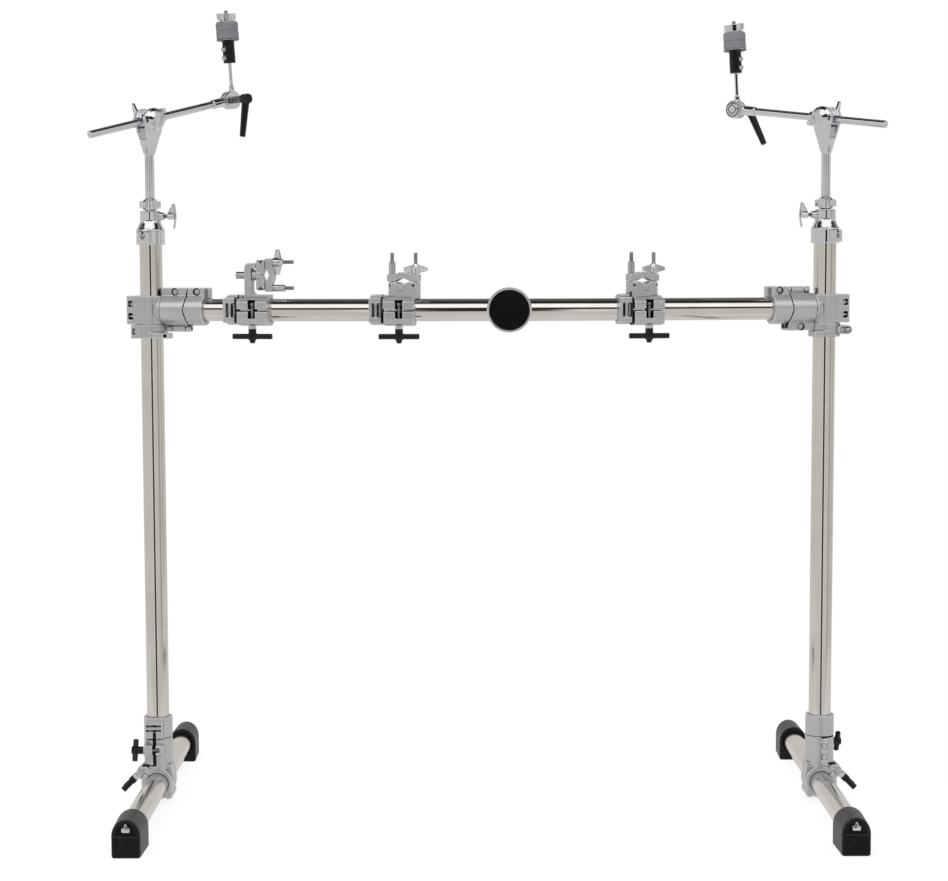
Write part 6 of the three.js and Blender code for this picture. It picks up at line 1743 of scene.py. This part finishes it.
class Booms(Group):
    """The collars, masts, tilters, booms and cymbal seats."""

    def build(self) -> None:
        """Builds both booms."""
        for side in SIDES:
            self._collar(side)
            self._mast(side)
            self._boom(side)
            self._seat(side)

    def _collar(self, side: Side) -> None:
        """Builds the collar and its wing screw.

        Args:
            side: The side.
        """
        place, level = RackPlaces.collar(side), COLLAR.screw
        rounds = [
            Round((0, 0, COLLAR.foot), (0, 0, COLLAR.shoulder), COLLAR.radius),
            Round((0, 0, COLLAR.shoulder), (0, 0, COLLAR.neck), COLLAR.radius, COLLAR.neck_radius),
            Round((0, 0, COLLAR.neck), (0, 0, COLLAR.top), COLLAR.neck_radius),
            small((16, 0, level), (25, 0, level), 6.5),
        ]
        turn = math.radians(side.boss)
        inner, outer = ((reach * math.cos(turn), reach * math.sin(turn)) for reach in (COLLAR.radius, 29.2))
        screw = small((*inner, COLLAR.key), (*outer, COLLAR.key), 3.6)
        hole = small((*inner, COLLAR.hole), (*outer, COLLAR.hole), 1.9)
        self.refine(
            side.name, ("collar_shell", "collar", "top_collar"), place, rounds, "chrome",
            # Steel on the key screw and painted shade in the hole beside it.
            zones=[Zone("steel", screw, 0.3), Zone("dark", hole, 0.3)], voxel=0.95, ease=2,
        )
        shaft, hub = small((9, 0, level), (31, 0, level), 3.2), small((31, 0, level), (43, 0, level), 5.5)
        self.refine(
            side.name, ("collar_wing", "collar_wing_screw", "collar_wing_screw"), place, [shaft, hub],
            "chrome", zones=[Zone("steel", shaft, 0.3)], voxel=0.66, ease=4,
        )

    def _mast(self, side: Side) -> None:
        """Builds the mast with its lock and fork, and the tilter in the fork.

        Args:
            side: The side.
        """
        level = SIZES.pivot_level
        rounds = [
            Round((0, 0, 820), (0, 0, 1120), 7.95), Round((0, 0, 1020.7), (0, 0, 1038.7), 12.0),
            Round((0, -17, level), (0, 17, level), 16.5),
        ]
        self.refine(
            side.name, ("mast_tube", "mast", "mast"), RackPlaces.mast(side), rounds, "chrome",
            voxel=1.0, ease=2, shape=self._crowned,
        )
        rounds = [Round((0, -10.7, 0), (0, 10.7, 0), 14.5)]
        for face in (1.0, -1.0):
            for start, end, radius, end_radius in (
                (17.4, 19.3, 15.0, None), (19.3, 23.0, 15.0, 11.25), (23.0, 24.9, 11.25, 5.0),
            ):
                rounds.append(Round((0, face * start, 0), (0, face * end, 0), radius, end_radius))
        rounds += [
            small((0, 25, 0), (0, 38, 0), 6.5), small((14, 0, 0), (31, 0, 0), 9.6),
            small((24, -16, 10.5), (24, -8, 10.5), 4.4),
        ]
        self.refine(
            side.name, ("tilter_knuckle", "tilter", "tilter"), RackPlaces.boom(side).turned(x=side.roll),
            rounds, "chrome", voxel=0.72, ease=4,
            shape=lambda points: self._broadened(points, 0.0, (17.25, 24.9), 1.28),
        )

    def _boom(self, side: Side) -> None:
        """Builds the boom rod with its hub, and the lever.

        Args:
            side: The side.
        """
        start = RackPlaces.boom_start(side)
        end = start + SIZES.rod_length
        rounds = [
            small((start, 0, 0), (end - 16, 0, 0), 6.35), small((end - 40, 0, 0), (end - 16.2, 0, 0), 8.0),
            Round((end, 0.3, 0), (end, 10.3, 0), 15.5), small((end, 10.3, 0), (end, 12.8, 0), 10.0),
        ]
        # Painted shade in two ring grooves on the hub's face; the chrome zones give back chrome inside each
        # ring.
        grooves = [
            Zone(material, Round((end, face - 0.8, 0), (end, face + 0.4, 0), radius), 0.1)
            for material, face, radius in (
                ("dark", 10.3, 13.2), ("chrome", 10.3, 11.8), ("dark", 12.8, 7.8), ("chrome", 12.8, 6.2),
            )
        ]
        self.refine(
            side.name, ("boom", "boom", "boom_rod"), RackPlaces.boom(side), rounds, "chrome",
            zones=grooves, voxel=0.8, ease=2,
            shape=lambda points: self._ribbed(points, (end, 5.3, 0.0), 5.4),
        )
        rounds = [
            small((0, -45, 0), (0, -10.6, 0), 6.0), small((0, -53, 0), (0, -37, 0), 8.6),
            small((0, -45, -9), (0, -45, -66), 6.5, 5.0), small((0, -13, 0), (0, 7.6, 0), 3.4),
        ]
        self.refine(
            side.name, ("lever_handle", "lever", "lever"), RackPlaces.hub(side).turned(y=side.lever), rounds,
            "plastic", zones=[Zone("steel", small((0, -36, 0), (0, 7.6, 0), 6.2), 0.3)], voxel=0.72, ease=5,
        )

    @staticmethod
    def _tapered(points: np.ndarray) -> np.ndarray:
        """Narrows the foot of the fork towards the mast.

        Args:
            points: The points of the mast.

        Returns:
            The changed points.
        """
        foot, height, narrow = SIZES.pivot_level - SIZES.fork_height, 40.0, 0.56
        below, mast_radius, least_radius = 1.0, 8.6, 8.8
        distance = np.hypot(points[:, 0], points[:, 1])
        share = np.clip((points[:, 2] - foot) / height, 0.0, 1.0)
        wide = (points[:, 2] > foot - below) & (distance > mast_radius)
        least = least_radius / np.maximum(distance, TINY)
        scale = np.where(wide, np.maximum(narrow + (1.0 - narrow) * share, least), 1.0)
        return scaled(points, (0, 1), (0.0, 0.0), scale)

    @staticmethod
    def _crowned(points: np.ndarray) -> np.ndarray:
        """Narrows the fork's foot and broadens its crown above the pivot.

        Args:
            points: The points of the mast.

        Returns:
            The changed points.
        """
        level, fade = SIZES.pivot_level, 10.0
        narrowed = Booms._tapered(points)
        share = np.clip((narrowed[:, 2:] - level) / fade + 1.0, 0.0, 1.0)
        return narrowed + (Booms._broadened(narrowed, level, (9.5, 17.2), 1.2) - narrowed) * share

    @staticmethod
    def _broadened(points: np.ndarray, level: float, depth: tuple[float, float], factor: float) -> np.ndarray:
        """Broadens the round parts about the pivot and eases the change out to their arms.

        Args:
            points: The points of the piece.
            level: The height of the pivot, whose axis is along Y.
            depth: The least and greatest distance from the middle along Y.
            factor: How much broader the round parts get.

        Returns:
            The changed points.
        """
        round_part, calm = 16.6, 34.0
        distance = np.hypot(points[:, 0], points[:, 2] - level)
        wide = np.interp(distance, [0.0, round_part, calm], [0.0, round_part * factor, calm])
        layer = (np.abs(points[:, 1]) > depth[0]) & (np.abs(points[:, 1]) < depth[1])
        scale = np.where(layer & (distance < calm), wide / np.maximum(distance, TINY), 1.0)
        return scaled(points, (0, 2), (0.0, level), scale)

    @staticmethod
    def _flared(points: np.ndarray, back: float) -> np.ndarray:
        """Widens the rim of the cup under the felts.

        Args:
            points: The points of the seat post.
            back: The Y of the post's axis.

        Returns:
            The changed points.
        """
        low, high, inner, flare = 100.0, 104.5, 14.0, 0.085
        foot, rise = 100.5, 2.0
        distance = np.hypot(points[:, 0], points[:, 1] - back)
        rim = (points[:, 2] > low) & (points[:, 2] < high) & (distance > inner)
        scale = np.where(rim, 1.0 + flare * np.clip((points[:, 2] - foot) / rise, 0.0, 1.0), 1.0)
        return scaled(points, (0, 1), (0.0, back), scale)

    @staticmethod
    def _ribbed(points: np.ndarray, middle: Point, half: float) -> np.ndarray:
        """Cuts fine teeth into the rim of a hub disc.

        Args:
            points: The points of the piece.
            middle: The disc's middle.
            half: Half of its thickness along Y.

        Returns:
            The changed points.
        """
        teeth, depth, low, high = 36.0, 0.35, 14.2, 16.2
        offset = points - np.array(middle)
        distance = np.hypot(offset[:, 0], offset[:, 2])
        rim = (np.abs(offset[:, 1]) < half) & (distance > low) & (distance < high)
        turn = np.arctan2(offset[:, 0], offset[:, 2])
        cut = np.where(rim, depth * (np.cos(teeth * turn) - 1.0), 0.0)
        return scaled(points, (0, 2), (middle[0], middle[2]), (distance + cut) / np.maximum(distance, TINY))

    def _seat(self, side: Side) -> None:
        """Builds the cymbal seat: its post, its felts and its wing nut.

        Args:
            side: The side.
        """
        back = SIZES.seat_back
        place = RackPlaces.hub(side).turned(y=side.lean)
        screws = [small((-11, back, z), (-14, back, z), 4.0) for z in (72.0, 87.0)]
        rounds = [
            Round((0, -10.3, 0), (0, -0.3, 0), 15.5), small((0, back, 15), (0, back, 23), 4.9),
            small((0, back, 20), (0, back, 153.5), 3.0), small((0, back, 63.5), (0, back, 101), 10.5),
            Round((0, back, 101.2), (0, back, 103.6), 17.3, 19.7), *screws,
        ]
        zones = [
            Zone("plastic", small((0, back, 63.4), (0, back, 101.0), 10.5), 0.4),
            Zone("plastic", Round((0, back, 101.0), (0, back, 103.8), 17.3, 19.7), 0.5),
            *zoned("bolt", screws, 0.3),
            Zone("steel", small((0, back, 134), (0, back, 153.5), 3.0), 0.4),
        ]
        self.refine(
            side.name, ("seat_spindle", "seat", "seat_post"), place, rounds, "chrome",
            zones=zones, voxel=0.8, ease=2,
            shape=lambda points: self._flared(self._ribbed(points, (0.0, back, 0.0), 5.2), back),
        )
        self._felts(side, place)
        rounds = [Round((0, back, 133), (0, back, 134.7), 18.0), small((0, back, 134.7), (0, back, 148), 6.8)]
        self.refine(
            side.name, ("top_wing", "top_wing_nut", "top_wing_nut"), place, rounds, "chrome",
            voxel=0.66, ease=4,
        )

    def _felts(self, side: Side, place: Place) -> None:
        """Builds the two felts as soft edged rings.

        Args:
            side: The side.
            place: The frame of the cymbal seat.
        """
        radius, height, soft, gap = SIZES.felt_radius, SIZES.felt_height, 1.6, 0.1
        axis = place.moved(y=SIZES.seat_back)
        generator = np.random.default_rng(7)
        for number in (0, 1):
            foot = SIZES.felt_foot + number * height + gap
            top = foot + height - 2.0 * gap
            ease = np.linspace(0.0, math.pi / 2.0, 6)
            low = [(radius - soft + soft * math.sin(a), foot + soft - soft * math.cos(a)) for a in ease]
            high = [(radius - soft + soft * math.cos(a), top - soft + soft * math.sin(a)) for a in ease]
            wall = [(radius, float(z)) for z in np.linspace(foot + 2.2, top - 2.2, 10)]
            bore = 3.4
            rings = revolved([(bore, foot), *low, *wall, *high, (bore, top)], axis, "Z", 128)
            rings[2:-2] += generator.normal(0.0, 0.07, rings[2:-2].shape)
            piece = self.loft(
                f"{side.name}_felt_{number + 1}", f"{side.name}_seat", Slot.FELT, rings, ["felt"],
                nodes=[f"{side.name}_felts"] if number == 0 else [], capped=False,
            )


class Studio:
    """The floor, the backdrop, the lamps, the world and the camera."""

    def __init__(self, lens: float = 78.53, sensor: float = 36.0) -> None:
        """Keeps the camera's lens and sensor.

        Args:
            lens: Focal length in millimetres.
            sensor: Width of the sensor in millimetres.
        """
        self.lens = lens
        self.sensor = sensor

    def build(self) -> None:
        """Builds the whole studio."""
        self._floor()
        self._world()
        self._lamps()
        self._camera()
        bpy.context.scene.view_settings.view_transform = "Standard"

    @staticmethod
    def _floor() -> None:
        """Builds the pale floor, white to the camera and a warm grey in the polished tubes."""
        mesh = bpy.data.meshes.new("studio_floor")
        side, front, back = 2.0, -0.62, 2.0
        corners = [(-side, front, 0.0), (side, front, 0.0), (side, back, 0.0), (-side, back, 0.0)]
        mesh.from_pydata(corners, [], [(0, 1, 2, 3)])
        floor = placed("studio_floor", mesh)
        material = bpy.data.materials.new("studio_floor")
        material.use_nodes = True
        graph = Graph(material.node_tree)
        camera, glossy, through = (
            graph.node("LightPath", f"Is {ray} Ray") for ray in ("Camera", "Glossy", "Transmission")
        )
        paint = graph.node("BsdfPrincipled", 0, Base_Color=(0.93, 0.93, 0.93, 1.0), Roughness=0.9)
        shine = glossy.blend((1.06, 1.06, 1.06, 1.0), (0.69, 0.67, 0.65, 1.0))
        glow = graph.node("Emission", 0, Color=shine, Strength=1.0)
        mixed = graph.tree.nodes.new("ShaderNodeMixShader")
        for target, value in zip(mixed.inputs, ((camera + glossy + through) * 0.80, paint, glow)):
            graph.feed(target, value)
        graph.show("Material", Socket(graph, mixed.outputs[0]))
        mesh.materials.append(material)
        floor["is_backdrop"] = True

    @staticmethod
    def _world() -> None:
        """Builds the surroundings: a long soft box overhead, dark gaps before and behind it, warm walls.

        The lift of a direction is 0 at the front horizon, 90 degrees overhead and 180 at the back. Its
        turn is 0 to the front and grows to the right.
        """
        world = bpy.data.worlds.new("studio")
        bpy.context.scene.world = world
        world.use_nodes = True
        graph = Graph(world.node_tree)
        split = graph.tree.nodes.new("ShaderNodeSeparateXYZ")
        graph.feed(split.inputs[0], graph.node("TexCoord", "Generated"))
        x, y, z = (Socket(graph, out) for out in split.outputs)
        lift, turn = (axis.angle_from(0.0 - y) / math.radians(1.0) for axis in (z, x))
        reach = 1.0 - abs(x).above(0.78, 0.93)
        level = 1.0 - abs(z).above(0.25, 0.35)
        wall = (turn.within(54.0, 72.0, 5.0) * level).blend((0.66, 0.64, 0.62, 1.0), (0.40, 0.40, 0.375, 1.0))
        wall = (turn.within(92.0, 106.0, 5.0) * level).blend(wall, (0.48, 0.48, 0.455, 1.0))
        wall = (abs(turn).within(8.0, 14.0, 1.5) * level).blend(wall, (0.88, 0.86, 0.84, 1.0))
        patch = abs(turn).within(-9.0, 8.5, 1.2) * lift.within(-15.0, 12.0, 2.0)
        gap = lift.within(4.5, 21.5, 1.5) * reach
        bright = lift.within(25.0, 60.0, 2.5) * reach
        back = lift.within(66.0, 138.0, 3.0) * reach
        sheen = lift.within(99.0, 123.0, 5.0) * reach
        colour = wall
        for mask, shade in (
            (patch, (0.02, 0.018, 0.016, 1.0)), (gap, (0.012, 0.010, 0.010, 1.0)),
            (bright, (1.28, 1.26, 1.25, 1.0)), (back, (0.02, 0.02, 0.022, 1.0)),
            (sheen, (0.13, 0.13, 0.13, 1.0)),
        ):
            colour = mask.blend(colour, shade)
        glossy = graph.node("LightPath", "Is Glossy Ray")
        camera = graph.node("LightPath", "Is Camera Ray")
        colour = glossy.blend((0.62, 0.62, 0.62, 1.0), colour)
        colour = camera.blend(colour, (1.0, 1.0, 1.0, 1.0))
        graph.show("World", graph.node("Background", 0, Color=colour, Strength=1.0))

    @staticmethod
    def _lamps() -> None:
        """Builds the soft lamps."""
        lamps = (
            ("key_lamp", (-2.2, -2.6, 3.2), (48.0, 0.0, -38.0), 2.2, 60.0),
            ("fill_lamp", (2.8, -2.4, 2.0), (62.0, 0.0, 48.0), 2.4, 30.0),
            ("top_lamp", (0.0, 0.4, 3.8), (0.0, 0.0, 0.0), 2.6, 35.0),
        )
        for name, place, degrees, size, power in lamps:
            light = bpy.data.lights.new(name, "AREA")
            light.shape = "SQUARE"
            light.size = size
            light.energy = power
            lamp = placed(name, light)
            lamp.location = place
            lamp.rotation_euler = [math.radians(angle) for angle in degrees]
            lamp.visible_glossy = False

    def _camera(self) -> None:
        """Builds the camera where the photograph was taken from."""
        pitch, yaw, roll = 0.0846, -0.0018, 0.0027
        eye = (-0.03107, -3.53025, 0.92637)
        data = bpy.data.cameras.new("camera")
        data.lens = self.lens
        data.sensor_width = self.sensor
        data.sensor_fit = "HORIZONTAL"
        data.clip_end = 100.0
        camera = placed("camera", data)
        level = Matrix.Rotation(math.pi / 2.0 - pitch, 4, "X")
        turn = Matrix.Rotation(yaw, 4, "Z") @ level @ Matrix.Rotation(-roll, 4, "Z")
        camera.matrix_world = Matrix.Translation(eye) @ turn
        bpy.context.scene.camera = camera


class Scene:
    """The dressed rack in its studio."""

    def __init__(self) -> None:
        """Notes the model's box before anything is added."""
        self.model_box = [list(corner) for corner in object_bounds()]
        self.finishes = Finishes()

    def build(self) -> None:
        """Builds the studio and every piece."""
        Studio().build()
        for maker in (Tubes, Boots, Badge, Legs, Crossings, RackClamps, Booms):
            maker(self.finishes).build()
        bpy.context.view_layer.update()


def main() -> None:
    """Builds the scene."""
    Scene().build()


if __name__ == "__main__":
    main()
